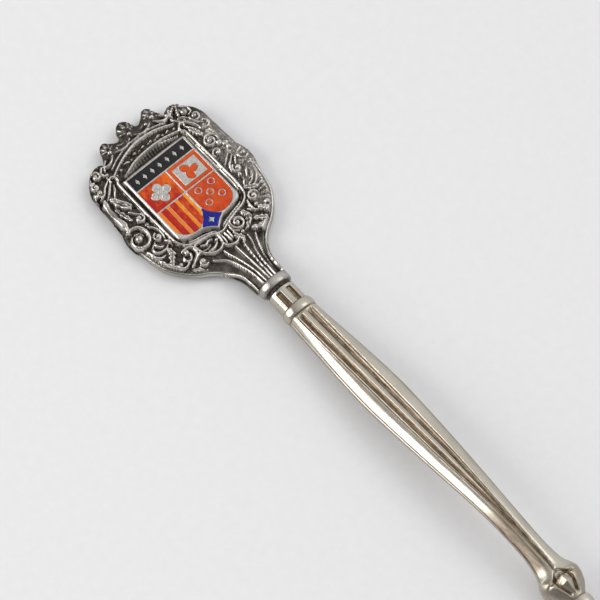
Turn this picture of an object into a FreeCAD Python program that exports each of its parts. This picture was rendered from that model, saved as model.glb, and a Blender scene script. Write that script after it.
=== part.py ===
"""Souvenir spoon: three soldered castings and an enamelled shield badge.

Frame: X runs from the crown on the head to the tip of the bowl, Y across the spoon, Z up.
The spoon lies face up on the plane z = 0, and the origin is the bottom centre of its box.
"""
import FreeCAD, Part
import math
import os

import Sketcher

Vector = FreeCAD.Vector

SIZES = {
    # head casting: places along X are measured from the middle of the badge
    "badge_x": -53.25,
    "crown_tip": 11.75,
    "plate_depth": 1.75,
    "boss_depth": 0.55,
    "boss_round": 0.28,
    "frame_width": 0.25,
    "frame_depth": 0.35,
    "ball_radius": 0.62,
    "volute_radius": 1.05,
    "small_volute_radius": 0.62,
    "jewel_depth": 0.4,
    "seat_floor": 1.0,
    "seat_gap": 0.45,
    "flute_depth": 0.6,
    "fan_start": 9.0,
    "ring_start": 15.75,
    "ring_length": 1.1,
    "ring_width": 4.4,
    "ring_height": 3.1,
    "ring_lift": 0.75,
    "spigot_radius": 0.9,
    "spigot_reach": 3.9,
    "spigot_height": 2.2,
    "socket_gap": 0.05,
    # solder seams
    "seam_length": 0.5,
    "seam_width": 3.6,
    "seam_height": 2.7,
    "bowl_seam_length": 0.4,
    "bowl_seam_width": 2.4,
    "bowl_seam_height": 1.9,
    # badge
    "adhesive_depth": 0.12,
    "badge_depth": 1.05,
    "enamel_depth": 0.4,
    "badge_top": 5.9,
    "badge_half_width": 4.72,
    "badge_side_foot": 3.8,
    "badge_foot": 6.35,
    "rim_width": 0.35,
    "wall_width": 0.24,
    "band_height": 1.75,
    "lozenge_half_length": 0.5,
    "lozenge_half_width": 0.26,
    "quarter_height": 3.45,
    "stripe_count": 7,
    "stripe_wall": 0.1,
    "red_stripe_share": 2.0,
    "quarter_drop": 4.6,
    "stud_radius": 0.33,
    "stud_wall": 0.16,
    # handle
    "panel_length": 2.6,
    "panel_width": 3.75,
    "panel_height": 2.75,
    "slot_width": 0.7,
    "slot_offset": 0.77,
    "slot_depth": 0.3,
    "handle_ring_length": 1.4,
    "ferrule_length": 1.4,
    "ferrule_width": 3.0,
    "ferrule_height": 2.3,
    "ferrule_lift": 1.85,
    "tang_radius": 0.6,
    "tang_reach": 3.4,
    "tang_height": 3.0,
    # bowl
    "bowl_heel_length": 17.5,
    "bowl_tip_length": 23.05,
    "bowl_half_width": 13.3,
    "bowl_depth": 6.4,
    "bowl_wall": 0.9,
}

# Shaft stations: distance from the panelled neck, width, height, lift of the flat back,
# offset of the two grooves, groove half width, groove depth, drop of the rib between them.
STATION_VALUES = ("at", "width", "height", "lift", "offset", "half", "depth", "drop")
SHAFT_STATIONS = {
    "root": (4.0, 3.95, 1.9, 1.6, 0.76, 0.36, 0.26, 0.0),
    "lower": (8.7, 4.5, 1.6, 2.15, 0.75, 0.36, 0.26, 0.0),
    "belly": (18.9, 5.35, 1.5, 3.05, 0.7, 0.36, 0.26, 0.0),
    "upper": (29.4, 4.4, 1.45, 3.8, 0.6, 0.3, 0.24, 0.0),
    "crest": (38.0, 3.4, 1.4, 4.15, 0.42, 0.24, 0.22, 0.06),
    "waist": (44.8, 3.1, 1.55, 3.5, 0.3, 0.2, 0.22, 0.2),
    "flare": (48.5, 3.9, 2.0, 2.55, 0.3, 0.2, 0.24, 0.22),
}
# Knop stations: distance, width, height, lift.
KNOP_STATIONS = {
    "throat": (48.5, 3.7, 1.9, 2.55),
    "lobes": (50.2, 5.5, 2.7, 1.95),
    "leaf": (51.9, 4.2, 2.5, 1.85),
    "tail": (53.2, 2.4, 2.0, 2.0),
}
# Bowl stem stations: distance from the middle of the bowl, width, height, lift.
STEM_STATIONS = {
    "butt": (22.85, 2.7, 2.1, 1.95),
    "neck": (20.9, 2.2, 1.9, 2.75),
    "heel": (18.2, 2.7, 1.9, 4.25),
    "drop": (15.8, 2.2, 0.6, 3.95),
}

# Where the castings end along X, as expressions in the sheet.
HEAD_END = "Sizes.badge_x + Sizes.ring_start + Sizes.ring_length"
HANDLE_START = HEAD_END + " + Sizes.seam_length"
HANDLE_END = HANDLE_START + " + Sizes.tail_at + Sizes.ferrule_length"

doc = FreeCAD.newDocument("souvenir_spoon")
sheet = doc.addObject("Spreadsheet::Sheet", "Sizes")
sub_parts = []


# ---------------------------------------------------------------- sheet and sketch helpers

def fill_sheet():
    """Write every driving dimension in column B, with its name in column A and as alias."""
    values = dict(SIZES)
    for stations, names in (
        (SHAFT_STATIONS, STATION_VALUES),
        (KNOP_STATIONS, STATION_VALUES[:4]),
        (STEM_STATIONS, STATION_VALUES[:4]),
    ):
        for station, numbers in stations.items():
            for name, number in zip(names, numbers):
                values[f"{station}_{name}"] = number
    for row, (alias, value) in enumerate(values.items(), start=1):
        sheet.set(f"A{row}", alias)
        sheet.set(f"B{row}", str(value))
        sheet.setAlias(f"B{row}", alias)
    doc.recompute()


def size(alias):
    return float(getattr(sheet, alias))


def new_body(label, x=None, z=None):
    """A body whose place along X and Z is an expression in the sheet."""
    body = doc.addObject("PartDesign::Body", label)
    body.Label = label
    if x:
        body.setExpression("Placement.Base.x", x)
    if z:
        body.setExpression("Placement.Base.z", z)
    sub_parts.append(body)
    return body


def new_sketch(body, name, role="XY_Plane", along=None, up=None):
    """A sketch on an origin plane, shifted along its normal and, on YZ, upwards."""
    sketch = body.newObject("Sketcher::SketchObject", name)
    plane = [f for f in body.Origin.OriginFeatures if f.Role == role][0]
    sketch.AttachmentSupport = [(plane, "")]
    sketch.MapMode = "FlatFace"
    if along:
        sketch.setExpression("AttachmentOffset.Base.z", along)
    if up:
        sketch.setExpression("AttachmentOffset.Base.y", up)
    return sketch


def draw_loop(sketch, start, *legs):
    """A closed loop: a leg is (end,) for a line or (middle, end) for an arc."""
    here = Vector(*start)
    for leg in legs + ((start,),):
        end = Vector(*leg[-1])
        if (end - here).Length < 1e-6:
            continue
        if len(leg) == 1:
            sketch.addGeometry(Part.LineSegment(here, end))
        else:
            sketch.addGeometry(Part.Arc(here, Vector(*leg[0]), end))
        here = end
    sketch.detectMissingPointOnPointConstraints()
    sketch.makeMissingPointOnPointCoincident()


def mirrored(half):
    """Close a half outline, given from its start to its end on the X axis, across that axis."""
    nodes = [half[0]]
    for leg in half[1:]:
        nodes.extend(leg)
    flipped = [(x, -y) for x, y in nodes]
    legs = list(half[1:])
    position = len(nodes)
    for leg in reversed(half[1:]):
        position -= len(leg)
        legs.append(tuple(flipped[position - 1:position + len(leg) - 1][::-1]))
    return half[0], legs


def draw_circle(sketch, x, y, radius_name):
    """A circle whose radius follows the sheet."""
    index = sketch.addGeometry(Part.Circle(Vector(x, y), Vector(0, 0, 1), size(radius_name)))
    constraint = sketch.addConstraint(Sketcher.Constraint("Radius", index, size(radius_name)))
    sketch.setExpression(f"Constraints[{constraint}]", f"Sizes.{radius_name}")


def extrude(body, kind, name, sketch, length, reverse=False):
    """A Pad or Pocket whose length is an expression in the sheet."""
    feature = body.newObject(f"PartDesign::{kind}", name)
    feature.Profile = sketch
    feature.Reversed = reverse
    feature.setExpression("Length", length)
    before = body.Shape.Volume if kind == "Pocket" else 0
    doc.recompute()
    if kind == "Pocket" and body.Shape.Volume >= before:
        raise RuntimeError(f"{name} cuts nothing")
    return feature


def loft(body, name, sketches, kind="AdditiveLoft"):
    feature = body.newObject(f"PartDesign::{kind}", name)
    feature.Profile = sketches[0]
    feature.Sections = sketches[1:]
    doc.recompute()
    return feature


def d_section(sketch, width, height):
    """A section with a narrow flat back, flared sides and a domed top, for rings and stems."""
    side = width / 2
    base = 0.65 * side
    draw_loop(
        sketch,
        (-base, 0),
        ((base, 0),),
        ((side, 0.38 * height),),
        ((0, height), (-side, 0.38 * height)),
    )


def ring(body, name, start, length, width, height, lift="0"):
    sketch = new_sketch(body, f"{name}_section", "YZ_Plane", start, lift)
    d_section(sketch, size(width), size(height))
    return extrude(body, "Pad", name, sketch, length)


# ---------------------------------------------------------------- head casting

def head_outline():
    """Half outline of the cartouche, from the crown's tip to the first ring."""
    half = [
        (-size("crown_tip"), 0),
        ((-11.35, 0.75), (-10.6, 1.05)),
        ((-10.15, 1.3), (-10.05, 1.75)),
        ((-10.35, 2.25), (-10.8, 2.75)),
        ((-11.15, 3.35), (-10.8, 3.95)),
        ((-10.0, 4.25), (-9.2, 4.85)),
        ((-9.45, 5.9), (-9.1, 7.0)),
        ((-8.1, 8.0), (-6.6, 8.65)),
        ((-1.0, 8.95),),
        ((0.8, 9.4), (2.6, 9.1)),
        ((4.4, 8.85), (6.0, 8.45)),
        ((8.0, 7.1), (9.4, 5.5)),
        ((11.2, 3.35), (14.0, 2.25)),
        ((size("ring_start"), 2.1),),
        ((size("ring_start"), 0),),
    ]
    return mirrored(half)


def head_bosses(sketch):
    """Raised balls and volutes, in mirrored pairs along the edge and on the crown."""
    pairs = (
        (-8.5, 6.3, "ball_radius"),
        (-7.2, 7.4, "small_volute_radius"),
        (-9.6, 3.1, "small_volute_radius"),
        (-1.4, 6.5, "ball_radius"),
        (1.0, 8.1, "volute_radius"),
        (2.1, 6.4, "small_volute_radius"),
        (5.6, 6.2, "small_volute_radius"),
        (6.9, 2.1, "volute_radius"),
        (8.9, 4.4, "small_volute_radius"),
    )
    for x, y, radius in pairs:
        draw_circle(sketch, x, y, radius)
        draw_circle(sketch, x, -y, radius)
    draw_circle(sketch, -10.0, 0, "ball_radius")


def round_bosses(body, bosses):
    """Round the upper rim of every boss, so that balls and volutes are domed."""
    top = size("plate_depth") + size("boss_depth")
    rims = [
        f"Edge{number}"
        for number, edge in enumerate(body.Shape.Edges, start=1)
        if abs(edge.BoundBox.ZMin - top) < 1e-6
    ]
    fillet = body.newObject("PartDesign::Fillet", "boss_rounds")
    fillet.Base = (bosses, rims)
    fillet.setExpression("Radius", "Sizes.boss_round")
    doc.recompute()


def crown_slot(sketch):
    """The sunk band of the crown, between its two raised arcs."""
    draw_loop(
        sketch,
        (-7.2, -5.0),
        ((-8.55, 0), (-7.2, 5.0)),
        ((-6.75, 4.9),),
        ((-7.35, 0), (-6.75, -4.9)),
    )


def fan_flutes(sketch):
    """Two broad hollows beside the middle ridge of the fan, narrowing to the ring."""
    start = size("fan_start")
    end = size("ring_start") - 0.6
    for sign in (-1, 1):
        draw_loop(
            sketch,
            (end, 0.25 * sign),
            ((start, 0.5 * sign),),
            ((start - 0.7, 1.1 * sign), (start, 1.7 * sign)),
            ((end, 0.75 * sign),),
        )
        draw_loop(
            sketch,
            (end, 1.05 * sign),
            ((start, 2.2 * sign),),
            ((start - 0.6, 3.4 * sign), (start + 0.5, 4.3 * sign)),
            ((start + 2.6, 2.6 * sign), (end, 1.6 * sign)),
        )


def build_head():
    body = new_body("head_casting", "Sizes.badge_x")
    outline = new_sketch(body, "head_outline")
    start, legs = head_outline()
    draw_loop(outline, start, *legs)
    extrude(body, "Pad", "head_plate", outline, "Sizes.plate_depth")

    bosses = new_sketch(body, "boss_circles", along="Sizes.plate_depth")
    head_bosses(bosses)
    bosses = extrude(body, "Pad", "bosses", bosses, "Sizes.boss_depth")

    round_bosses(body, bosses)

    frame = new_sketch(body, "frame_outline", along="Sizes.plate_depth")
    start, legs = shield_outline(size("seat_gap") + size("frame_width"))
    draw_loop(frame, start, *legs)
    extrude(body, "Pad", "badge_frame", frame, "Sizes.frame_depth")
    seat = new_sketch(body, "seat_outline", along="Sizes.plate_depth + Sizes.frame_depth")
    start, legs = shield_outline(size("seat_gap"))
    draw_loop(seat, start, *legs)
    seat_depth = "Sizes.plate_depth + Sizes.frame_depth - Sizes.seat_floor"
    extrude(body, "Pocket", "badge_seat", seat, seat_depth)

    crown = new_sketch(body, "crown_outline", along="Sizes.plate_depth")
    crown_slot(crown)
    extrude(body, "Pocket", "crown_band", crown, "Sizes.jewel_depth")

    flutes = new_sketch(body, "flute_outlines", along="Sizes.plate_depth")
    fan_flutes(flutes)
    extrude(body, "Pocket", "flutes", flutes, "Sizes.flute_depth")

    ring(
        body, "head_ring", "Sizes.ring_start", "Sizes.ring_length",
        "ring_width", "ring_height", "Sizes.ring_lift",
    )
    spigot = new_sketch(
        body, "spigot_circle", "YZ_Plane", "Sizes.ring_start + Sizes.ring_length"
    )
    draw_circle(spigot, 0, size("spigot_height"), "spigot_radius")
    extrude(body, "Pad", "spigot", spigot, "Sizes.spigot_reach")


# ---------------------------------------------------------------- badge and enamels

def shield_outline(grow=0.0):
    """Shield with a slightly bowed top and an ogee foot, made larger or smaller by grow."""
    top = -size("badge_top") - grow
    side = size("badge_half_width") + grow
    shoulder = size("badge_side_foot") + grow / 2
    foot = size("badge_foot") + grow
    half = [
        (top, 0),
        ((top + 0.03, side / 2), (top + 0.12, side)),
        ((shoulder, side),),
        ((shoulder + 0.75, side - 0.2), (shoulder + 1.15, side - 0.95)),
        ((shoulder + 1.45, 1.5),),
        ((foot - 0.6, 0.7), (foot, 0)),
    ]
    return mirrored(half)


def band_box():
    """Low X, high X and half width of the band across the top of the shield."""
    low = -size("badge_top") + size("rim_width") + 0.1
    return low, low + size("band_height"), size("badge_half_width") - size("rim_width")


def quarter_box(sign):
    """Low X, high X, inner Y and outer Y of an upper quarter; sign is its side."""
    low = band_box()[1] + size("wall_width")
    inner = sign * size("wall_width") / 2
    outer = sign * band_box()[2]
    return low, low + size("quarter_height"), inner, outer


def base_arc(y):
    """Lower end of the lower quarters at the distance y from the middle line."""
    sag = 1.7
    inner, outer = size("wall_width") / 2, band_box()[2]
    middle, half_chord = (inner + outer) / 2, (outer - inner) / 2
    radius = (half_chord ** 2 + sag ** 2) / (2 * sag)
    rise = math.sqrt(max(radius ** 2 - (abs(y) - middle) ** 2, 0)) - (radius - sag)
    top = quarter_box(1)[1] + size("wall_width")
    return top + size("quarter_drop") - sag + rise


def rectangle(sketch, low, high, inner, outer):
    draw_loop(sketch, (low, inner), ((high, inner),), ((high, outer),), ((low, outer),))


def draw_band(sketch):
    """The band, with a row of lozenges left standing in metal."""
    low, high, half = band_box()
    rectangle(sketch, low, high, -half, half)
    middle = (low + high) / 2
    reach, spread = size("lozenge_half_width"), size("lozenge_half_length")
    for step in range(-3, 4):
        y = step * 1.15
        draw_loop(
            sketch,
            (middle - spread, y),
            ((middle, y + reach),),
            ((middle + spread, y),),
            ((middle, y - reach),),
        )


def draw_red_field(sketch):
    """Upper left quarter, with a four-lobed rosette left standing in metal."""
    low, high, inner, outer = quarter_box(-1)
    rectangle(sketch, low, high, inner, outer)
    x, y = (low + high) / 2, (inner + outer) / 2
    lobe, waist = 1.4, 0.55
    corners = [(x - waist, y - waist), (x + waist, y - waist)]
    corners += [(x + waist, y + waist), (x - waist, y + waist)]
    tips = [(x, y - lobe), (x + lobe, y), (x, y + lobe), (x - lobe, y)]
    legs = [(tips[side], corners[(side + 1) % 4]) for side in range(4)]
    draw_loop(sketch, corners[0], *legs)


def draw_orange_frame(sketch):
    low, high, inner, outer = quarter_box(1)
    border = 0.4
    rectangle(sketch, low, high, inner, outer)
    rectangle(sketch, low + border, high - border, inner + border, outer - border)


def draw_orange_sprig(sketch):
    """A curled leaf spray inside the frame."""
    low, high, inner, outer = quarter_box(1)
    x, y = (low + high) / 2, (inner + outer) / 2
    draw_loop(
        sketch,
        (x + 1.1, y - 0.25),
        ((x + 0.45, y - 0.75), (x - 0.15, y - 0.35)),
        ((x - 0.6, y - 0.85), (x - 1.1, y - 0.7)),
        ((x - 0.75, y + 0.05), (x - 0.15, y + 0.2)),
        ((x - 0.35, y + 0.75), (x - 0.05, y + 1.15)),
        ((x + 0.45, y + 0.65), (x + 0.35, y + 0.1)),
        ((x + 0.8, y + 0.2), (x + 1.1, y - 0.25)),
    )


def draw_stripes(sketch, first):
    """Every second stripe of the lower left quarter, each ending on the curved base.

    The red stripes are wider than the yellow ones that stand at both sides.
    """
    low = quarter_box(-1)[1] + size("wall_width")
    inner, outer = quarter_box(-1)[2:]
    count = int(size("stripe_count"))
    share = size("red_stripe_share")
    pitch = (outer - inner) / ((count + 1) // 2 + count // 2 * share)
    gap = size("stripe_wall") / 2

    def stripe_start(index):
        return inner + pitch * ((index + 1) // 2 + index // 2 * share)

    for index in range(first, count, 2):
        near = stripe_start(index) - gap
        far = stripe_start(index + 1) + gap
        middle = (near + far) / 2
        draw_loop(
            sketch,
            (low, near),
            ((base_arc(near), near),),
            ((base_arc(middle), middle), (base_arc(far), far)),
            ((low, far),),
        )


def stud_places():
    """Five studs on a diagonal grid in the lower right quarter."""
    low = quarter_box(1)[1] + size("wall_width")
    x, y = low + 1.75, (quarter_box(1)[2] + quarter_box(1)[3]) / 2
    step = 1.0
    return [(x, y)] + [(x + a * step, y + b * step) for a in (-1, 1) for b in (-1, 1)]


def draw_orange_field(sketch):
    """Lower right quarter, with a ring of metal left standing round each stud."""
    low = quarter_box(1)[1] + size("wall_width")
    inner, outer = quarter_box(1)[2:]
    middle = (inner + outer) / 2
    draw_loop(
        sketch,
        (low, inner),
        ((base_arc(inner), inner),),
        ((base_arc(middle), middle), (base_arc(outer), outer)),
        ((low, outer),),
    )
    for x, y in stud_places():
        index = sketch.addGeometry(
            Part.Circle(Vector(x, y), Vector(0, 0, 1), size("stud_radius") + size("stud_wall"))
        )
        constraint = sketch.addConstraint(
            Sketcher.Constraint("Radius", index, size("stud_radius") + size("stud_wall"))
        )
        sketch.setExpression(f"Constraints[{constraint}]", "Sizes.stud_radius + Sizes.stud_wall")


def draw_red_studs(sketch):
    for x, y in stud_places():
        draw_circle(sketch, x, y, "stud_radius")


def draw_blue_base(sketch):
    """The curved lozenge between the lower quarters and the foot, with a star of metal."""
    top = base_arc(0) + 0.3
    foot = size("badge_foot") - size("rim_width")
    wide = 1.5
    low = foot - 1.03
    draw_loop(
        sketch,
        (top, 0),
        ((top + 1.06, 0.62), (low, wide)),
        ((foot - 0.55, 0.62), (foot, 0)),
        ((foot - 0.55, -0.62), (low, -wide)),
        ((top + 1.06, -0.62), (top, 0)),
    )
    middle, reach, waist = low - 0.12, 0.66, 0.2
    tips = [(middle + reach, 0), (middle, reach), (middle - reach, 0), (middle, -reach)]
    dips = [(middle + a * waist, b * waist) for a, b in ((1, 1), (-1, 1), (-1, -1), (1, -1))]
    draw_loop(sketch, tips[0], *[(dips[side], tips[(side + 1) % 4]) for side in range(4)])


CELLS = {
    "enamel_band_black": draw_band,
    "enamel_field_red": draw_red_field,
    "enamel_frame_orange": draw_orange_frame,
    "enamel_sprig_orange": draw_orange_sprig,
    "enamel_stripes_yellow": lambda sketch: draw_stripes(sketch, 0),
    "enamel_stripes_red": lambda sketch: draw_stripes(sketch, 1),
    "enamel_field_orange": draw_orange_field,
    "enamel_studs_red": draw_red_studs,
    "enamel_base_blue": draw_blue_base,
}


def build_badge():
    body = new_body("shield_plate", "Sizes.badge_x", "Sizes.seat_floor + Sizes.adhesive_depth")
    outline = new_sketch(body, "shield_outline")
    start, legs = shield_outline()
    draw_loop(outline, start, *legs)
    extrude(body, "Pad", "plate", outline, "Sizes.badge_depth")
    for name, draw in CELLS.items():
        cell = new_sketch(body, f"{name}_cell", along="Sizes.badge_depth")
        draw(cell)
        extrude(body, "Pocket", f"{name}_pocket", cell, "Sizes.enamel_depth")


def build_enamels():
    floor = "Sizes.seat_floor + Sizes.adhesive_depth + Sizes.badge_depth - Sizes.enamel_depth"
    for name, draw in CELLS.items():
        body = new_body(name, "Sizes.badge_x", floor)
        sketch = new_sketch(body, f"{name}_outline")
        draw(sketch)
        extrude(body, "Pad", f"{name}_fill", sketch, "Sizes.enamel_depth")


def build_adhesive():
    body = new_body("badge_adhesive", "Sizes.badge_x", "Sizes.seat_floor")
    sketch = new_sketch(body, "adhesive_outline")
    start, legs = shield_outline(-0.3)
    draw_loop(sketch, start, *legs)
    extrude(body, "Pad", "adhesive_film", sketch, "Sizes.adhesive_depth")


# ---------------------------------------------------------------- solder seams

def build_seam(label, place, prefix, lift, hole_radius, hole_height):
    """A thin D-shaped washer of solder round the pin that it joins."""
    body = new_body(label, place)
    ring(
        body, f"{label}_ring", "0", f"Sizes.{prefix}_length",
        f"{prefix}_width", f"{prefix}_height", lift,
    )
    hole = new_sketch(body, f"{label}_hole", "YZ_Plane")
    draw_circle(hole, 0, size(hole_height), hole_radius)
    extrude(body, "Pocket", f"{label}_bore", hole, f"Sizes.{prefix}_length", reverse=True)


# ---------------------------------------------------------------- handle

def fluted_section(sketch, station):
    """Flat back, low sides, and a dome with two grooves either side of a rib."""
    width, height, offset, half, depth, drop = (
        size(f"{station}_{name}") for name in ("width", "height", "offset", "half", "depth", "drop")
    )
    side = width / 2
    edge = 0.4 * height

    def dome(y):
        return height - (height - edge) * (y / side) ** 2

    outer, inner = offset + half, offset - half
    shoulder = (outer + side) / 2
    draw_loop(
        sketch,
        (-side, 0),
        ((side, 0),),
        ((side, edge),),
        ((shoulder, dome(shoulder)), (outer, dome(outer))),
        ((offset, dome(offset) - depth), (inner, dome(inner) - drop)),
        ((0, height - drop + 0.03), (-inner, dome(inner) - drop)),
        ((-offset, dome(offset) - depth), (-outer, dome(outer))),
        ((-shoulder, dome(shoulder)), (-side, edge)),
    )


def build_handle():
    body = new_body("handle_shaft", HANDLE_START)
    ring(
        body, "panelled_neck", "0", "Sizes.panel_length",
        "panel_width", "panel_height", "Sizes.ring_lift",
    )
    slots = new_sketch(body, "slot_outlines", along="Sizes.ring_lift + Sizes.panel_height")
    low, high = 0.25, size("panel_length") - 0.15
    for sign in (-1, 1):
        middle, half = sign * size("slot_offset"), size("slot_width") / 2
        rectangle(slots, low, high, middle - half, middle + half)
    extrude(body, "Pocket", "panel_slots", slots, "Sizes.slot_depth + 0.15")
    ring(
        body, "handle_ring", "Sizes.panel_length", "Sizes.handle_ring_length",
        "ring_width", "ring_height", "Sizes.ring_lift + 0.1",
    )

    sections = []
    for station in SHAFT_STATIONS:
        section = new_sketch(
            body, f"{station}_section", "YZ_Plane", f"Sizes.{station}_at", f"Sizes.{station}_lift"
        )
        fluted_section(section, station)
        sections.append(section)
    loft(body, "fluted_shaft", sections)

    sections = []
    for station in KNOP_STATIONS:
        section = new_sketch(
            body, f"{station}_section", "YZ_Plane", f"Sizes.{station}_at", f"Sizes.{station}_lift"
        )
        d_section(section, size(f"{station}_width"), size(f"{station}_height"))
        sections.append(section)
    loft(body, "knop", sections)
    ring(
        body, "ferrule", "Sizes.tail_at", "Sizes.ferrule_length",
        "ferrule_width", "ferrule_height", "Sizes.ferrule_lift",
    )

    socket = new_sketch(body, "socket_circle", "YZ_Plane")
    draw_circle(socket, 0, size("spigot_height"), "spigot_radius")
    extrude(
        body, "Pocket", "head_socket", socket,
        "Sizes.spigot_reach - Sizes.seam_length + Sizes.socket_gap", reverse=True,
    )
    tang_hole = new_sketch(body, "tang_circle", "YZ_Plane", "Sizes.tail_at + Sizes.ferrule_length")
    draw_circle(tang_hole, 0, size("tang_height"), "tang_radius")
    extrude(
        body, "Pocket", "tang_socket", tang_hole,
        "Sizes.tang_reach - Sizes.bowl_seam_length + Sizes.socket_gap",
    )


# ---------------------------------------------------------------- bowl

def bowl_section(sketch, scale, inset):
    """An egg made of two half ellipses that meet at the widest place."""
    half_width = size("bowl_half_width") * scale - inset
    for length, first in ((size("bowl_heel_length"), 1), (size("bowl_tip_length"), -1)):
        reach = length * scale - inset
        ellipse = Part.Ellipse(Vector(0, 0), reach, half_width)
        if reach < half_width:
            raise RuntimeError("the bowl has to be longer than wide")
        quarter = math.pi / 2
        sketch.addGeometry(Part.ArcOfEllipse(ellipse, first * quarter, first * quarter + math.pi))
    sketch.detectMissingPointOnPointConstraints()
    sketch.makeMissingPointOnPointCoincident()


def bowl_sections(body, name, depth, inset, floor):
    """Level sections of a bowl, spaced by angle so that its wall steepens to the rim."""
    sections = []
    for number, angle in enumerate((12, 30, 50, 70, 90)):
        turn = math.radians(angle)
        drop = (1 - math.cos(turn)) if angle > 12 else 0
        section = new_sketch(body, f"{name}_{number}", along=f"{floor} + ({depth}) * {drop:.5f}")
        bowl_section(section, math.sin(turn), inset * math.sin(turn))
        sections.append(section)
    return sections


def build_bowl():
    body = new_body("bowl_blade", f"{HANDLE_END} + Sizes.bowl_seam_length + Sizes.butt_at")
    loft(body, "bowl_outside", bowl_sections(body, "outside", "Sizes.bowl_depth", 0, "0"))

    sections = []
    for station in STEM_STATIONS:
        section = new_sketch(
            body, f"{station}_section", "YZ_Plane", f"-Sizes.{station}_at", f"Sizes.{station}_lift"
        )
        d_section(section, size(f"{station}_width"), size(f"{station}_height"))
        sections.append(section)
    loft(body, "stem", sections)
    tang = new_sketch(body, "tang_outline", "YZ_Plane", "-Sizes.butt_at")
    draw_circle(tang, 0, size("tang_height"), "tang_radius")
    extrude(body, "Pad", "tang", tang, "Sizes.tang_reach", reverse=True)

    inside = bowl_sections(
        body, "inside", "Sizes.bowl_depth - Sizes.bowl_wall + 0.02",
        size("bowl_wall"), "Sizes.bowl_wall",
    )
    loft(body, "bowl_inside", inside, "SubtractiveLoft")


# ---------------------------------------------------------------- build, check and write

def write_parts():
    doc.recompute()
    for item in doc.Objects:
        if "Invalid" in item.State or "Error" in item.State:
            raise RuntimeError(f"{item.Name} failed: {item.State}")
    os.makedirs("parts", exist_ok=True)
    whole = FreeCAD.BoundBox()
    for part in sub_parts:
        if part.Shape.isNull() or not part.Shape.isValid():
            raise RuntimeError(f"{part.Label} has no valid shape")
        part.Shape.exportStep(f"parts/{part.Label}.step")
        whole.add(part.Shape.BoundBox)
        box = part.Shape.BoundBox
        print(
            f"{part.Label:24s} {part.Shape.Volume:8.2f} mm3, solids {len(part.Shape.Solids)},"
            f" x {box.XMin:7.2f} {box.XMax:7.2f}, z {box.ZMin:5.2f} {box.ZMax:5.2f}"
        )
    print("whole", whole)


fill_sheet()
build_head()
build_badge()
build_enamels()
build_adhesive()
build_seam(
    "solder_head_joint", HEAD_END,
    "seam", "Sizes.ring_lift + 0.2", "spigot_radius", "spigot_height",
)
build_handle()
build_seam(
    "solder_bowl_joint", HANDLE_END,
    "bowl_seam", "Sizes.ferrule_lift + 0.15", "tang_radius", "tang_height",
)
build_bowl()
write_parts()
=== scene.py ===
"""Souvenir spoon: the looks, built in the frame of the CAD model. Lengths here are millimetres
until a mesh is made. Ornaments of the head and badge are placed from the middle of the badge,
with x along the spoon towards the bowl and y across it."""

import math

import bpy
import numpy as np
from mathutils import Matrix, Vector


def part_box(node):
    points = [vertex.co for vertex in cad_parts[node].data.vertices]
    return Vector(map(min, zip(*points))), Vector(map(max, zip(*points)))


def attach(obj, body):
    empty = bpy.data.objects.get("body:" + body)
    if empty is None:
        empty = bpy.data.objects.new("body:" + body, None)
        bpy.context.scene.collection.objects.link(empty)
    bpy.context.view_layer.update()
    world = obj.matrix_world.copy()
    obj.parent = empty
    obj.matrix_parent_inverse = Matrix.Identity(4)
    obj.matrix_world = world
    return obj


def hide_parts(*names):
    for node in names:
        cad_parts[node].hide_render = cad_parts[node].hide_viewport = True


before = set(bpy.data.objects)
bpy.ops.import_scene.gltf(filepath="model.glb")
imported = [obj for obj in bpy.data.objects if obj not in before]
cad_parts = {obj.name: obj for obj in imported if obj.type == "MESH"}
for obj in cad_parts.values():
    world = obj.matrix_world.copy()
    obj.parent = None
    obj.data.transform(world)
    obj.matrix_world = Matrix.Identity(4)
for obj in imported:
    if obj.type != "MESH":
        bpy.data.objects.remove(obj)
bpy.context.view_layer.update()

MM = 0.001


# ---------------------------------------------------------------- what the CAD nodes say

def box_mm(node):
    low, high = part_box(node)
    return np.array(low) / MM, np.array(high) / MM


SHIELD_LOW, SHIELD_HIGH = box_mm("shield_plate")
HEAD_LOW, HEAD_HIGH = box_mm("head_casting")
HANDLE_LOW, HANDLE_HIGH = box_mm("handle_shaft")
BOWL_LOW, BOWL_HIGH = box_mm("bowl_blade")
CROWN_REACH = 11.75                       # crown tip to the middle of the badge
RING_START = 15.75                        # middle of the badge to the ring of the head
BADGE_X = HEAD_LOW[0] + CROWN_REACH
BADGE_TOP = SHIELD_HIGH[2]
ENAMEL_FLOOR = box_mm("enamel_field_red")[0][2]
SEAT_FLOOR = box_mm("badge_adhesive")[0][2]


def face_loops(node, level):
    """Outlines of the flat faces of a CAD node at one height, from the middle of the badge."""
    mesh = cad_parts[node].data
    mesh.calc_loop_triangles()
    points = np.array([v.co for v in mesh.vertices]) / MM
    triangles = np.array([t.vertices for t in mesh.loop_triangles])
    flat = np.abs(points[triangles][:, :, 2] - level).max(1) < 1e-3
    keys = np.round(points[:, :2], 3)
    places, same = np.unique(keys, axis=0, return_inverse=True)
    pairs = edge_pairs(same.reshape(-1)[triangles[flat]], len(places))
    return [places[loop] - (BADGE_X, 0) for loop in edge_loops(pairs)]


def edge_pairs(faces, count):
    """The directed edges that only one face uses."""
    a = faces.ravel()
    b = np.roll(faces, -1, axis=1).ravel()
    key = np.minimum(a, b).astype(np.int64) * count + np.maximum(a, b)
    _, first, uses = np.unique(key, return_index=True, return_counts=True)
    pick = first[uses == 1]
    return np.stack([a[pick], b[pick]], 1)


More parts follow.
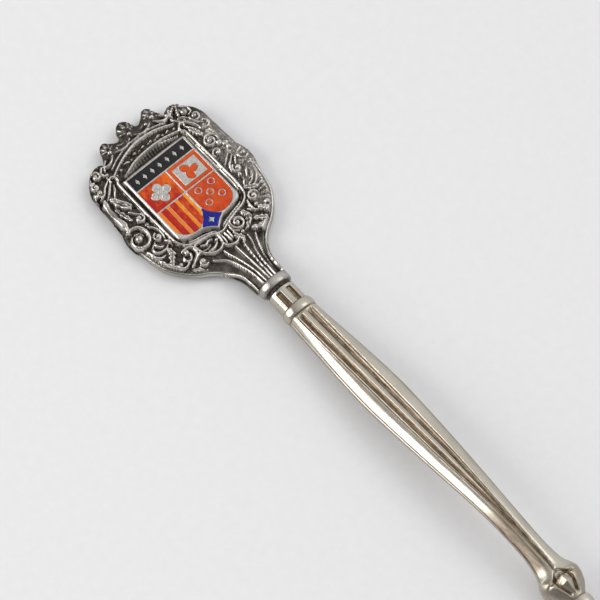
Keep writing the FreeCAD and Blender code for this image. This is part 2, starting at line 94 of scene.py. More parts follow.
def edge_loops(pairs):
    """Directed edges joined into closed loops of point numbers."""
    following = {}
    for a, b in pairs.tolist():
        following.setdefault(a, []).append(b)
    loops = []
    while following:
        start = next(iter(following))
        loop, here = [], start
        while here in following:
            loop.append(here)
            ahead = following[here].pop()
            if not following[here]:
                del following[here]
            here = ahead
            if here == start:
                break
        if len(loop) > 2:
            loops.append(loop)
    return loops


# ---------------------------------------------------------------- curves and distances

def smooth_line(points, spacing=0.05, closed=False):
    """A Catmull-Rom line through the points, sampled about every spacing."""
    p = np.asarray(points, float)
    if closed:
        ext = np.vstack([p[-1], p, p[0], p[1]])
    else:
        ext = np.vstack([2 * p[0] - p[1], p, 2 * p[-1] - p[-2]])
    out = []
    for a, b, c, d in zip(ext[:-3], ext[1:-2], ext[2:-1], ext[3:]):
        count = max(2, int(np.linalg.norm(c - b) / spacing))
        s = np.linspace(0, 1, count, endpoint=False)[:, None]
        out.append(0.5 * (2 * b + (c - a) * s + (2 * a - 5 * b + 4 * c - d) * s ** 2
                          + (3 * b - a - 3 * c + d) * s ** 3))
    if not closed:
        out.append(p[-1:])
    return np.vstack(out)


def resample(loop, spacing):
    """A closed loop with points about every spacing, so that the distances to it are smooth."""
    out = []
    for a, b in zip(loop, np.roll(loop, -1, axis=0)):
        count = max(1, int(round(np.linalg.norm(b - a) / spacing)))
        out.append(a + (b - a) * np.linspace(0, 1, count, endpoint=False)[:, None])
    return np.vstack(out)


def outlines(node, level, spacing):
    """The outlines of a CAD node's flat faces, with even points."""
    return [resample(loop, spacing) for loop in face_loops(node, level)]


def signed_distance(x, y, loops):
    """Distance to the nearest of some closed loops, positive inside them and not in holes."""
    best = np.full(x.shape, 1e9)
    inside = np.zeros(x.shape, bool)
    for loop in loops:
        for (ax, ay), (bx, by) in zip(loop, np.roll(loop, -1, axis=0)):
            dx, dy = bx - ax, by - ay
            t = np.clip(((x - ax) * dx + (y - ay) * dy) / (dx * dx + dy * dy + 1e-12), 0, 1)
            best = np.minimum(best, (x - ax - t * dx) ** 2 + (y - ay - t * dy) ** 2)
            crosses = (ay > y) != (by > y)
            inside ^= crosses & (x < (bx - ax) * (y - ay) / (by - ay + 1e-12) + ax)
    return np.where(inside, 1, -1) * np.sqrt(best)


def smooth_step(low, high, value):
    t = np.clip((value - low) / (high - low), 0, 1)
    return t * t * (3 - 2 * t)


def wobble(x, y, scale, seed=0):
    """Smooth unevenness between about -1 and 1, the same on every run."""
    rng = np.random.default_rng(seed)
    total = np.zeros(np.shape(x))
    for octave in range(4):
        angle, phase = rng.uniform(0, math.tau, 2)
        reach = 1.7 ** octave / scale
        total += np.sin((x * math.cos(angle) + y * math.sin(angle)) * reach + phase) * np.sin(
            (y * math.cos(angle) - x * math.sin(angle)) * reach * 1.3 + 2 * phase)
    return total / 2


# ---------------------------------------------------------------- relief

class Relief:
    """Heights over a set of points, which ornaments are raised from."""

    def __init__(self, x, y, z):
        self.x, self.y, self.z = x, y, z

    def near(self, line, reach):
        low, high = line.min(0) - reach, line.max(0) + reach
        return np.nonzero((self.x > low[0]) & (self.x < high[0])
                          & (self.y > low[1]) & (self.y < high[1]))[0]

    def along(self, line, reach):
        """The points within reach of a line: their indexes, distance, side and place on it."""
        found = self.near(line, reach)
        x, y = self.x[found], self.y[found]
        gap = (x[:, None] - line[None, :, 0]) ** 2 + (y[:, None] - line[None, :, 1]) ** 2
        k = gap.argmin(1)
        tangent = np.gradient(line, axis=0)
        tangent /= np.linalg.norm(tangent, axis=1)[:, None] + 1e-9
        off = np.stack([x, y], 1) - line[k]
        side = tangent[k, 0] * off[:, 1] - tangent[k, 1] * off[:, 0]
        return found, np.sqrt(gap[np.arange(len(k)), k]), side, k / max(len(line) - 1, 1)

    def lift(self, found, z, blend=0.04):
        """Smooth maximum of the heights there and the new ones."""
        old = self.z[found]
        mix = np.clip(0.5 + (z - old) / (2 * blend), 0, 1)
        self.z[found] = old * (1 - mix) + z * mix + blend * mix * (1 - mix)

    def ridge(self, points, width, top, steep=1.1, closed=False):
        """A raised round line: width and top are one number, or values along it."""
        line = smooth_line(points, closed=closed)
        width = np.atleast_1d(width).astype(float)
        top = np.atleast_1d(top).astype(float)
        found, gap, _, place = self.along(line, width.max() / 2)
        half = np.interp(place, np.linspace(0, 1, len(width)), width) / 2
        peak = np.interp(place, np.linspace(0, 1, len(top)), top)
        s = np.clip(gap / np.maximum(half, 1e-3), 0, 1)
        level = peak - np.minimum(half, 0.6) * steep * (1 - np.sqrt(1 - s ** 2))
        keep = gap < half
        self.lift(found[keep], level[keep])

    def groove(self, points, width, depth):
        line = smooth_line(points)
        found, gap, _, place = self.along(line, width / 2)
        s = np.clip(gap / (width / 2), 0, 1)
        taper = np.clip(np.minimum(place, 1 - place) * 8, 0.2, 1)
        self.z[found] -= depth * taper * (1 - s ** 2) ** 2

    def ball(self, x, y, radius, top, flat=1.0):
        found = self.near(np.array([[x, y]]), radius)
        gap = np.hypot(self.x[found] - x, self.y[found] - y)
        keep = gap < radius
        s = gap[keep] / radius
        self.lift(found[keep], top - flat * radius * (1 - np.sqrt(1 - s ** 2)))

    def volute(self, x, y, radius, start, turns, width, top, hand=1):
        """A scroll that winds in to a small ball; start is in degrees, hand its direction."""
        turn = np.linspace(0, turns * math.tau, int(24 * turns) + 6)
        reach = radius * (1 - 0.78 * turn / turn[-1])
        angle = math.radians(start) + hand * turn
        line = np.stack([x + reach * np.cos(angle), y + reach * np.sin(angle)], 1)
        self.ridge(line, [width, width, width * 0.55], [top - 0.1, top, top])
        self.ball(x, y, max(width * 0.62, 0.2), top + 0.06)

    def leaf(self, points, widths, top, lobes=5, crease=0.16, ribs=0.1):
        """A leaf along a line: a crease down the middle, slanting ribs and a scalloped edge."""
        line = smooth_line(points)
        widths = np.atleast_1d(widths).astype(float)
        found, gap, side, place = self.along(line, widths.max() / 2 * 1.2)
        half = np.interp(place, np.linspace(0, 1, len(widths)), widths) / 2
        wave = np.cos(math.tau * (lobes * place - 0.25 * np.abs(side) / np.maximum(half, 1e-3)))
        half = half * (1 + 0.16 * wave)
        s = np.clip(gap / np.maximum(half, 1e-3), 0, 1)
        level = top - np.minimum(half, 0.7) * 0.9 * (1 - np.sqrt(1 - s ** 2))
        level += ribs * wave * s
        level -= crease * np.exp(-(side / 0.1) ** 2)
        keep = gap < half
        self.lift(found[keep], level[keep])


# ---------------------------------------------------------------- mesh building

def add_object(name, data):
    thing = bpy.data.objects.new(name, data)
    bpy.context.scene.collection.objects.link(thing)
    return thing


def make_object(name, vertices, faces):
    """A smooth mesh object from millimetre vertices."""
    mesh = bpy.data.meshes.new(name)
    mesh.from_pydata((np.asarray(vertices) * MM).tolist(), [], faces)
    mesh.polygons.foreach_set("use_smooth", [True] * len(mesh.polygons))
    mesh.update()
    return add_object(name, mesh)


def add_value(piece, name, values):
    attribute = piece.data.attributes.new(name, "FLOAT", "POINT")
    attribute.data.foreach_set("value", np.asarray(values, np.float32))


class Patch:
    """A grid of quads inside some loops, with the points of its edge moved on to the loops."""

    def __init__(self, loops, cell):
        low = np.min([loop.min(0) for loop in loops], axis=0) - 2.5 * cell
        high = np.max([loop.max(0) for loop in loops], axis=0) + 2.5 * cell
        gx, gy = np.meshgrid(np.arange(low[0], high[0], cell), np.arange(low[1], high[1], cell),
                             indexing="ij")
        d = signed_distance(gx, gy, loops)
        grad_x, grad_y = np.gradient(d, cell)
        length = np.hypot(grad_x, grad_y) + 1e-6
        inside = d > 0
        corners = (inside[:-1, :-1].astype(int) + inside[1:, :-1]
                   + inside[:-1, 1:] + inside[1:, 1:])
        index = np.arange(gx.size).reshape(gx.shape)
        quads = np.stack([index[:-1, :-1], index[1:, :-1], index[1:, 1:], index[:-1, 1:]], -1)
        quads = quads[corners >= 2]
        edge = np.zeros(gx.size, bool)
        edge[np.unique(edge_pairs(quads, gx.size))] = True
        edge |= d.ravel() <= 0
        nx, ny = (grad_x / length).ravel(), (grad_y / length).ravel()
        shift = np.where(edge, -d.ravel(), 0)
        used = np.unique(quads)
        number = np.full(gx.size, -1)
        number[used] = np.arange(used.size)
        self.x = (gx.ravel() + shift * nx)[used]
        self.y = (gy.ravel() + shift * ny)[used]
        self.d = np.where(edge, 0, d.ravel())[used]
        self.nx, self.ny = nx[used], ny[used]
        self.quads = number[quads]
        self.shape, self.used, self.cell = gx.shape, used, cell

    def spread(self, values, reach):
        """The values averaged over a square of about that reach, for telling high from low."""
        full = np.full(self.shape, np.nan)
        full.ravel()[self.used] = values
        known = ~np.isnan(full)
        total = [np.where(known, full, 0), known.astype(float)]
        size = max(1, int(reach / self.cell))
        for axis in (0, 1):
            for item in range(2):
                padded = np.concatenate(
                    [np.zeros_like(total[item].take([0] * (size + 1), axis)), total[item],
                     np.zeros_like(total[item].take([0] * size, axis))], axis)
                sums = padded.cumsum(axis)
                count = total[item].shape[axis]
                total[item] = (sums.take(range(2 * size + 1, 2 * size + 1 + count), axis)
                               - sums.take(range(count), axis))
        return (total[0] / np.maximum(total[1], 1)).ravel()[self.used]


def relief_solid(name, patch, z, bottom, back_step=0.0, back_shift=0.0, values=None, rise=None):
    """A closed solid: the relief on top, an upright wall, and a flat back that is drawn in."""
    count = patch.x.size
    pairs = edge_pairs(patch.quads, count)
    border = np.unique(pairs)
    number = np.full(count, -1)
    number[border] = np.arange(border.size)
    rings = [(bottom + back_step, 0.0), (bottom + back_step * 0.4, back_shift * 0.45)]
    layers = [np.stack([patch.x, patch.y, z], 1)]
    for level, shift in rings:
        layers.append(np.stack([patch.x[border] + patch.nx[border] * shift,
                                patch.y[border] + patch.ny[border] * shift,
                                np.full(border.size, level)], 1))
    draw_in = back_shift * np.clip(1 - patch.d / (3 * back_shift + 1e-6), 0, 1)
    layers.append(np.stack([patch.x + patch.nx * draw_in, patch.y + patch.ny * draw_in,
                            np.full(count, bottom)], 1))
    a, b = pairs[:, 0], pairs[:, 1]
    ring_1 = count + number
    ring_2 = ring_1 + border.size
    back = count + 2 * border.size
    faces = patch.quads.tolist()
    faces += np.stack([b, a, ring_1[a], ring_1[b]], 1).tolist()
    faces += np.stack([ring_1[b], ring_1[a], ring_2[a], ring_2[b]], 1).tolist()
    faces += np.stack([ring_2[b], ring_2[a], back + a, back + b], 1).tolist()
    faces += (back + patch.quads[:, ::-1]).tolist()
    vertices = np.vstack(layers)
    if rise:
        vertices[count:, 2] += rise(vertices[count:, 0])
    vertices[:, 0] += BADGE_X
    piece = make_object(name, vertices, faces)
    for key, top in (values or {}).items():
        full = np.full(len(vertices), 0.35)
        full[:count] = top
        full[count:count + border.size] = top[border]
        add_value(piece, key, full)
    return piece


# ---------------------------------------------------------------- head casting

def mirrored(side, *points):
    """The points as given, or on the other side of the spoon's middle line."""
    return [(x, y * side) for x, y in points]


def fleuret(relief, x, y, size, lean=0.0):
    """A point of the crown: five petals that rise from a small ball."""
    for step in (-2, -1, 0, 1, 2):
        angle = math.radians(180 + 34 * step) + lean
        reach = size * (1.0 - 0.14 * abs(step))
        bend = 0.16 * step * size
        relief.ridge(
            [(x, y + 0.12 * step),
             (x + 0.55 * reach * math.cos(angle), y + 0.55 * reach * math.sin(angle) - bend * 0.3),
             (x + reach * math.cos(angle), y + reach * math.sin(angle) - bend * 0.2)],
            [0.16 * size, 0.4 * size, 0.2 * size], [1.75, 2.05, 1.85])
    relief.ball(x + 0.22, y, 0.3, 2.12)


def crown(relief):
    fleuret(relief, -9.85, -3.35, 1.05, -0.05)
    fleuret(relief, -10.0, 0.0, 1.45)
    fleuret(relief, -9.9, 3.45, 1.05, 0.05)
    for side in (-1, 1):
        relief.ridge(mirrored(side, (-9.25, 2.75), (-8.95, 1.9), (-8.95, 1.1), (-9.35, 0.35)),
                     [0.2, 0.32, 0.2], [1.85, 1.95, 1.9])
        relief.ridge(mirrored(side, (-9.7, 2.1), (-9.45, 1.5), (-9.6, 0.9)), 0.24, 1.8)
        relief.ball(-9.45, 2.35 * side, 0.24, 1.95)
        relief.ball(-9.3, 0.75 * side, 0.18, 1.85)
        relief.ridge(mirrored(side, (-9.2, 3.3), (-8.75, 3.9), (-8.6, 4.6), (-8.9, 5.2)),
                     [0.2, 0.34, 0.2], [1.85, 1.95, 1.8])
        relief.ridge(mirrored(side, (-9.3, 4.4), (-8.95, 4.9), (-8.35, 5.3)), 0.26, 1.85)
    # the two raised arcs, and the jewels in the sunk band between them
    relief.ridge([(-7.0, -5.2), (-7.5, -4.2), (-7.9, -3.3), (-8.3, -2.0), (-8.55, -0.4),
                  (-8.5, 1.3), (-8.35, 2.6), (-8.1, 3.6), (-7.7, 4.8)],
                 [0.22, 0.3, 0.34, 0.3, 0.22], [2.0, 2.12, 2.15, 2.12, 2.0], steep=1.7)
    relief.ridge([(-8.05, -4.4), (-8.55, -3.2), (-8.85, -1.8), (-8.95, -0.4), (-8.9, 1.2),
                  (-8.75, 2.8), (-8.4, 4.2)], 0.2, [1.8, 1.9, 1.8])
    relief.ridge([(-5.9, -4.6), (-6.25, -3.7), (-6.65, -2.7), (-6.9, -1.8), (-7.05, -0.4),
                  (-7.1, 1.2), (-7.0, 2.6), (-6.8, 3.7), (-6.6, 4.5)],
                 [0.22, 0.28, 0.3, 0.28, 0.22], [2.1, 2.22, 2.25, 2.22, 2.1], steep=1.7)
    for x, y, length, tilt in (
            (-7.2, -3.75, 0.5, 1.1), (-7.5, -2.6, 0.95, 1.25), (-7.8, -1.15, 0.6, 1.4),
            (-7.85, 0.2, 0.6, 1.57), (-7.8, 1.35, 0.45, 1.7), (-7.75, 2.35, 0.9, 1.75),
            (-7.5, 3.7, 0.6, 1.9), (-6.95, -4.6, 0.4, 0.9), (-7.25, 4.55, 0.35, 2.1)):
        dx, dy = 0.5 * length * math.cos(tilt), 0.5 * length * math.sin(tilt)
        relief.ridge([(x - dx, y - dy), (x, y), (x + dx, y + dy)], [0.14, 0.36, 0.14],
                     [1.65, 1.85, 1.65])
    for x, y in ((-7.45, -1.9), (-7.75, -0.45), (-7.75, 0.95), (-7.5, 3.0), (-7.6, 1.85)):
        relief.ball(x, y, 0.15, 1.72)


def ribbed_slope(relief):
    """The slope from the inner arc down to the badge, with short ribs across it."""
    x, y = relief.x, relief.y
    arc = -7.0 + 0.052 * (y - 0.4) ** 2
    found = np.nonzero((x > arc) & (x < -6.15) & (np.abs(y) < 4.6))[0]
    level = 1.95 - 0.75 * (x[found] - arc[found]) / (-6.15 - arc[found] + 0.05)
    level += 0.05 * np.cos(math.tau * y[found] / 0.42)
    relief.lift(found, level)


def frame_line(relief):
    """The moulding round the badge, and the ogee under its foot."""
    outside = [(-6.2, 5.2), (-5.6, 5.3), (-3.0, 5.38), (0.0, 5.45), (2.5, 5.5), (4.1, 5.4),
               (5.0, 5.0), (5.55, 4.2), (5.8, 3.2), (6.05, 2.2), (6.35, 1.2), (6.75, 0.05),
               (6.4, -0.95), (6.1, -1.9), (5.9, -2.8), (5.75, -3.6), (5.35, -4.4),
               (4.6, -4.95), (3.6, -5.15), (1.5, -5.2), (-1.3, -5.3), (-5.4, -5.3), (-6.2, -5.2)]
    relief.ridge(outside, 0.34, 2.05, steep=1.6)
    inside = [(x * 0.945, y * 0.938) for x, y in outside[1:-1]]
    relief.ridge(inside, 0.2, 1.9, steep=1.6)
    for side in (-1, 1):
        relief.ridge(mirrored(side, (-6.3, 5.0), (-6.75, 4.95), (-7.2, 5.3), (-7.1, 5.75),
                              (-6.7, 5.7)), [0.34, 0.3, 0.2], [2.0, 2.05, 1.9])


def left_shoulder(relief):
    relief.volute(-8.45, -6.65, 0.62, 200, 1.1, 0.34, 2.0, hand=-1)
    relief.volute(-7.45, -7.55, 0.55, 160, 1.1, 0.32, 1.95)
    relief.ball(-6.45, -8.35, 0.34, 1.95)
    relief.volute(-6.45, -7.6, 0.5, 20, 1.0, 0.28, 1.9, hand=-1)
    relief.ridge([(-8.9, -5.4), (-8.4, -5.9), (-7.9, -5.85), (-7.75, -5.4)], 0.3, 1.95)
    relief.ball(-8.1, -5.95, 0.26, 2.0)
    for points in (
            [(-5.7, -8.2), (-6.1, -7.3), (-6.7, -6.7), (-7.1, -6.0), (-7.6, -5.6)],
            [(-5.2, -7.6), (-5.9, -6.7), (-6.5, -6.1), (-7.1, -5.5)],
            [(-4.9, -6.7), (-5.6, -6.1), (-6.3, -5.7)],
            [(-5.4, -8.7), (-6.0, -8.7), (-6.8, -8.3)],
            [(-8.9, -7.2), (-8.2, -7.7), (-7.6, -8.3)]):
        relief.ridge(points, [0.16, 0.36, 0.2], [1.75, 1.95, 1.8])


def right_shoulder(relief):
    relief.leaf([(-9.55, 6.5), (-9.2, 5.9), (-8.8, 5.4)], [0.4, 0.9, 0.4], 1.95, 4)
    relief.leaf([(-9.35, 7.1), (-8.8, 6.6), (-8.2, 6.1)], [0.3, 0.7, 0.3], 1.95, 3)
    relief.ball(-8.1, 6.85, 0.5, 2.05)
    relief.ridge([(-8.7, 6.9), (-8.35, 7.45), (-7.75, 7.55), (-7.5, 7.1)], 0.26, 1.95)
    relief.volute(-6.9, 7.5, 0.68, 250, 1.2, 0.34, 2.0)
    relief.ridge([(-8.9, 7.8), (-8.0, 8.15), (-7.2, 8.3), (-6.4, 8.3)], [0.2, 0.36, 0.2], 1.75)
    for points in (
            [(-8.3, 5.0), (-7.6, 5.5), (-7.0, 6.1), (-6.3, 6.6), (-5.8, 6.9), (-5.2, 7.0)],
            [(-7.4, 6.2), (-6.7, 6.6), (-6.1, 7.2), (-5.7, 7.7)],
            [(-6.7, 5.6), (-6.1, 6.0), (-5.6, 6.4)],
            [(-7.9, 5.6), (-7.7, 6.2), (-7.2, 6.7)]):
        relief.ridge(points, [0.16, 0.34, 0.2], [1.75, 1.95, 1.8])
    relief.leaf([(-5.9, 5.9), (-5.2, 6.2), (-4.6, 6.5)], [0.5, 1.0, 0.5], 1.95, 3)
    relief.ridge([(-5.9, 7.9), (-5.3, 8.25), (-4.9, 7.8), (-5.1, 7.2)], 0.32, 1.95)


def left_side(relief):
    relief.leaf([(-5.3, -8.0), (-4.3, -8.35), (-3.2, -8.5), (-2.2, -8.3), (-1.2, -8.2),
                 (-0.3, -8.4)], [0.4, 1.0, 1.15, 0.9, 0.8, 0.3], 2.0, 3, crease=0.05, ribs=0.05)
    relief.leaf([(-5.0, -7.2), (-4.2, -7.05), (-3.4, -6.7), (-2.7, -6.15)],
                [0.3, 1.0, 0.9, 0.3], 2.05, 3)
    relief.ridge([(-4.9, -6.9), (-4.2, -6.6), (-3.5, -6.2), (-2.9, -5.9)], [0.14, 0.3, 0.2], 2.05)
    relief.leaf([(-3.6, -7.6), (-2.8, -7.5), (-2.0, -7.3), (-1.4, -7.1)], [0.3, 0.7, 0.3], 1.9, 3)
    relief.volute(-0.9, -6.25, 0.6, 120, 1.1, 0.36, 2.05, hand=-1)
    relief.ridge([(-2.4, -6.7), (-1.8, -6.3), (-1.4, -5.9)], 0.28, 1.85)
    # the big scroll at the widest place
    relief.ridge([(-0.5, -8.6), (-0.45, -7.8), (-0.05, -7.15), (0.65, -6.85), (1.35, -6.85),
                  (2.0, -7.2), (2.35, -7.85), (2.2, -8.6), (1.6, -9.05), (0.9, -9.0),
                  (0.4, -8.55)], [0.3, 0.42, 0.46, 0.46, 0.42, 0.34, 0.24],
                 [1.9, 2.1, 2.15, 2.15, 2.1, 1.95, 1.85])
    relief.ball(1.05, -8.05, 0.5, 2.1)
    relief.ridge([(0.35, -8.1), (0.55, -7.6), (1.1, -7.4)], 0.22, 1.8)
    relief.volute(2.3, -6.2, 0.56, 180, 1.15, 0.3, 2.0)
    relief.ridge([(0.5, -6.25), (1.2, -5.75), (2.0, -5.5), (2.9, -5.65)], [0.2, 0.32, 0.2], 1.95)
    relief.ball(0.2, -6.1, 0.36, 1.8)
    for points in (
            [(2.7, -7.2), (3.2, -7.75), (3.85, -7.7), (4.15, -7.1), (4.1, -6.4), (3.8, -5.9)],
            [(2.5, -6.9), (3.0, -7.15), (3.5, -6.9), (3.6, -6.4)],
            [(2.9, -8.5), (3.5, -8.35), (4.2, -8.2), (4.7, -7.7), (4.7, -7.0)],
            [(3.1, -5.9), (3.6, -5.6), (4.2, -5.6)]):
        relief.ridge(points, [0.2, 0.36, 0.3, 0.18], [1.8, 2.0, 2.0, 1.8])


def right_side(relief):
    relief.volute(-3.2, 6.75, 0.95, 90, 1.5, 0.32, 2.0)
    relief.ridge([(-4.4, 7.7), (-3.5, 7.85), (-2.6, 7.5)], 0.3, 1.9)
    relief.ridge([(-4.3, 8.35), (-3.2, 8.5), (-2.1, 8.5)], [0.2, 0.34, 0.2], 1.75)
    relief.leaf([(-2.4, 7.3), (-1.9, 7.8), (-1.2, 7.9)], [0.5, 0.9, 0.4], 2.05, 2, crease=0.05)
    relief.volute(-1.5, 6.35, 0.62, 300, 1.1, 0.3, 2.0, hand=-1)
    for points in (
            [(-0.7, 7.3), (-0.3, 6.8), (0.1, 6.3), (0.4, 5.85)],
            [(-0.2, 7.5), (0.3, 6.9), (0.8, 6.3), (1.6, 6.0)],
            [(-0.9, 8.4), (-0.2, 8.1), (0.5, 7.4), (1.0, 7.1)],
            [(1.9, 7.9), (2.5, 7.4), (3.1, 7.05)],
            [(2.3, 8.0), (3.1, 7.7), (3.8, 7.2), (4.1, 6.4)],
            [(2.7, 8.4), (3.5, 8.1), (4.2, 7.5), (4.5, 6.9)],
            [(3.0, 8.75), (3.8, 8.5), (4.6, 8.1)],
            [(2.9, 6.6), (3.4, 6.3), (3.9, 5.9)]):
        relief.ridge(points, [0.16, 0.36, 0.18], [1.8, 2.02, 1.85])
    relief.volute(1.55, 6.8, 0.6, 200, 1.1, 0.32, 2.05)
    relief.ridge([(-0.3, 8.9), (0.0, 8.1), (0.7, 7.95), (1.15, 8.4), (1.0, 8.95)],
                 [0.24, 0.4, 0.3], [1.9, 2.1, 1.95])
    relief.ball(0.45, 8.65, 0.4, 2.05)
    relief.leaf([(1.3, 8.2), (1.8, 8.5), (2.3, 8.7)], [0.5, 0.8, 0.4], 2.0, 2, crease=0.04)
    relief.ball(2.4, 6.5, 0.3, 1.95)
    relief.leaf([(4.1, 5.9), (4.5, 6.4), (4.8, 7.0)], [0.4, 0.8, 0.4], 1.95, 3)


def lower_left(relief):
    relief.leaf([(4.3, -8.3), (5.2, -8.15), (6.1, -7.7), (6.9, -7.1), (7.4, -6.6)],
                [0.4, 0.8, 0.9, 0.7, 0.3], 1.95, 4, crease=0.06)
    relief.leaf([(4.4, -6.3), (5.0, -6.3), (5.7, -6.9), (6.3, -7.2)], [0.4, 1.0, 0.8, 0.3], 2.0, 4)
    relief.ridge([(5.7, -5.3), (5.65, -4.75), (5.95, -4.15), (6.6, -4.0), (7.2, -4.35),
                  (7.6, -5.0), (7.95, -5.55)], [0.26, 0.4, 0.4, 0.3], [2.0, 2.15, 2.1, 1.9])
    relief.ball(6.1, -5.0, 0.38, 2.1)
    relief.ridge([(6.5, -4.7), (6.95, -4.9), (7.15, -5.3), (6.9, -5.7), (6.4, -5.7)], 0.24, 1.95)
    relief.ridge([(7.4, -6.9), (7.5, -6.2), (7.3, -5.6)], 0.26, 1.9)
    relief.ball(6.85, -6.5, 0.3, 1.9)
    relief.ridge([(7.95, -5.4), (7.55, -4.8), (7.25, -4.1), (7.1, -3.6)], [0.2, 0.36, 0.3], 2.05)
    relief.volute(8.3, -4.2, 0.55, 40, 1.1, 0.28, 1.95, hand=-1)
    relief.ridge([(8.3, -5.9), (8.75, -5.3), (9.2, -4.8), (9.5, -4.4)], [0.2, 0.36, 0.24], 1.95)
    relief.ball(8.7, -5.2, 0.26, 2.0)
    # the oval shell
    relief.ridge([(6.1, -3.75), (6.8, -3.7), (7.5, -3.5), (8.05, -2.9), (8.4, -2.1), (8.3, -1.4),
                  (7.9, -0.9), (7.2, -0.75), (6.55, -0.85), (6.2, -1.4), (6.1, -2.2),
                  (6.05, -3.0)], 0.3, [2.05, 2.1, 2.05], closed=True)
    relief.ridge([(6.5, -3.2), (6.8, -2.6), (6.6, -2.1), (6.7, -1.6)], [0.2, 0.4, 0.2], 1.9)
    relief.ridge([(7.7, -2.9), (7.75, -2.1), (7.45, -1.4)], [0.2, 0.44, 0.3], 1.9)
    relief.ball(7.1, -1.2, 0.28, 1.95)
    relief.ridge([(7.15, -3.3), (7.3, -2.7), (7.1, -2.1)], 0.2, 1.7)


def lower_right(relief):
    relief.volute(7.0, 2.2, 1.0, 200, 1.5, 0.36, 2.1)
    relief.ridge([(6.35, 1.3), (6.9, 1.05), (7.5, 1.1), (8.0, 1.6)], [0.24, 0.34, 0.24], 2.0)
    relief.leaf([(6.3, 3.5), (6.9, 3.7), (7.7, 3.3), (8.3, 2.7)], [0.4, 0.9, 0.7, 0.3], 2.0, 4)
    relief.ridge([(5.6, 4.9), (6.3, 4.75), (7.0, 4.8)], [0.2, 0.34, 0.2], 2.0)
    relief.volute(5.55, 5.85, 0.72, 100, 1.25, 0.3, 2.05)
    relief.ball(6.6, 5.45, 0.28, 2.0)
    for points in (
            [(4.9, 7.1), (4.8, 7.7), (4.5, 8.3)],
            [(5.4, 7.0), (5.4, 7.6), (5.2, 8.3)],
            [(5.9, 6.9), (6.1, 7.5), (5.9, 8.1)],
            [(6.4, 6.7), (6.7, 7.2), (6.7, 7.7)],
            [(8.3, 2.4), (8.0, 3.0), (7.8, 3.6), (7.3, 4.1)],
            [(7.3, 5.2), (6.9, 4.6), (6.4, 4.2)]):
        relief.ridge(points, [0.18, 0.36, 0.2], [1.8, 2.0, 1.8])
    relief.leaf([(7.2, 5.5), (7.8, 6.1), (8.3, 6.3)], [0.5, 1.1, 0.6], 2.1, 3, crease=0.06)
    relief.leaf([(7.0, 6.6), (7.5, 7.0), (8.0, 6.9)], [0.4, 0.8, 0.4], 1.95, 3)
    relief.leaf([(7.9, 4.2), (8.5, 5.0), (8.9, 5.6)], [0.4, 0.8, 0.4], 2.0, 3)
    relief.leaf([(8.8, 3.2), (9.15, 3.9), (9.2, 4.8), (9.7, 4.6)], [0.5, 0.9, 0.7, 0.3], 2.15, 3,
                crease=0.05)
    relief.leaf([(8.2, 0.9), (8.8, 1.3), (9.3, 1.3)], [0.5, 0.8, 0.3], 2.1, 3)
    relief.ball(8.3, 1.9, 0.28, 1.95)


def middle_tab(relief):
    """The hanging tab with two ribs, between the shell and the scroll."""
    relief.ridge([(7.6, -0.85), (8.4, -0.8), (8.9, -0.1), (8.9, 0.6), (8.4, 1.05), (7.7, 0.95)],
                 [0.24, 0.34, 0.24], [2.0, 2.15, 2.0])
    relief.ridge([(7.1, 0.05), (7.8, 0.1), (8.4, 0.1)], [0.2, 0.3, 0.2], 2.1)
    relief.ridge([(7.0, 0.55), (7.6, 0.5), (8.2, 0.45)], [0.18, 0.26, 0.18], 2.05)
    relief.ridge([(6.8, -0.5), (7.4, -0.4), (8.2, -0.45)], [0.18, 0.26, 0.18], 2.0)


def fan(relief):
    """Ridges that gather into the ring, with smooth hollows between them."""
    x, y = relief.x, relief.y
    found = np.nonzero((x > 8.2) & (np.abs(y) < 7 - 0.6 * (x - 8.2)))[0]
    t = smooth_step(8.8, RING_START, x[found])
    half = np.interp(x[found], [8.2, 9.5, 11.2, 13, RING_START], [5.6, 4.4, 3.0, 2.2, 2.0])
    level = 1.2 + 1.35 * t - (0.25 + 0.55 * t) * np.clip(np.abs(y[found]) / half, 0, 1) ** 2
    fade = smooth_step(8.3, 9.4, x[found])
    relief.z[found] = relief.z[found] * (1 - fade) + level * fade
    top = [1.7, 2.0, 2.35, 2.7, 2.85]
    for points in (
            [(9.0, 0.02), (11, 0.04), (13, 0.04), (RING_START, 0.03)],
            [(8.7, -1.4), (9.5, -1.28), (10.5, -1.02), (12, -0.72), (13.6, -0.52), (RING_START, -0.44)],
            [(9.1, 1.1), (10.5, 0.9), (12, 0.68), (13.6, 0.5), (RING_START, 0.42)],
            [(8.9, -3.2), (9.4, -2.65), (9.9, -2.1), (10.8, -1.66), (12, -1.32), (13.6, -1.02),
             (RING_START, -0.88)],
            [(8.9, 2.1), (9.8, 1.95), (11, 1.5), (12, 1.22), (13.6, 0.96), (RING_START, 0.86)]):
        relief.ridge(points, [0.28, 0.25, 0.23, 0.22, 0.22], top, steep=1.7)
    low = [1.75, 1.85, 2.1, 2.5, 2.7]
    relief.ridge([(9.3, -5.0), (10.1, -4.2), (10.8, -3.45), (11.6, -2.85), (12.4, -2.4),
                  (13.4, -2.05), (RING_START, -1.9)], [0.3, 0.27, 0.24, 0.22, 0.22], low, steep=1.7)
    relief.ridge([(9.9, 4.2), (10.7, 3.35), (11.6, 2.75), (12.6, 2.3), (13.6, 2.05),
                  (RING_START, 1.9)], [0.3, 0.27, 0.24, 0.22, 0.22], low, steep=1.7)
    relief.ridge([(9.4, 2.9), (10.2, 2.5), (11.2, 2.15), (12.4, 1.75), (14, 1.45)],
                 [0.3, 0.2, 0.14], [1.9, 2.0, 2.1], steep=1.6)


NECK_LIFT = 1.2                           # of the neck's back, where it meets the ring
CROWN_OVERHANG = 0.4                      # past the plate's flat outline, at the crown
NECK_GROWTH = 0.04                        # share of the neck's width
FRAME_MARGIN, SEAT_MARGIN = 0.42, 0.24    # round the badge: sunk for its frame, and for the badge
SCRAPS = 420


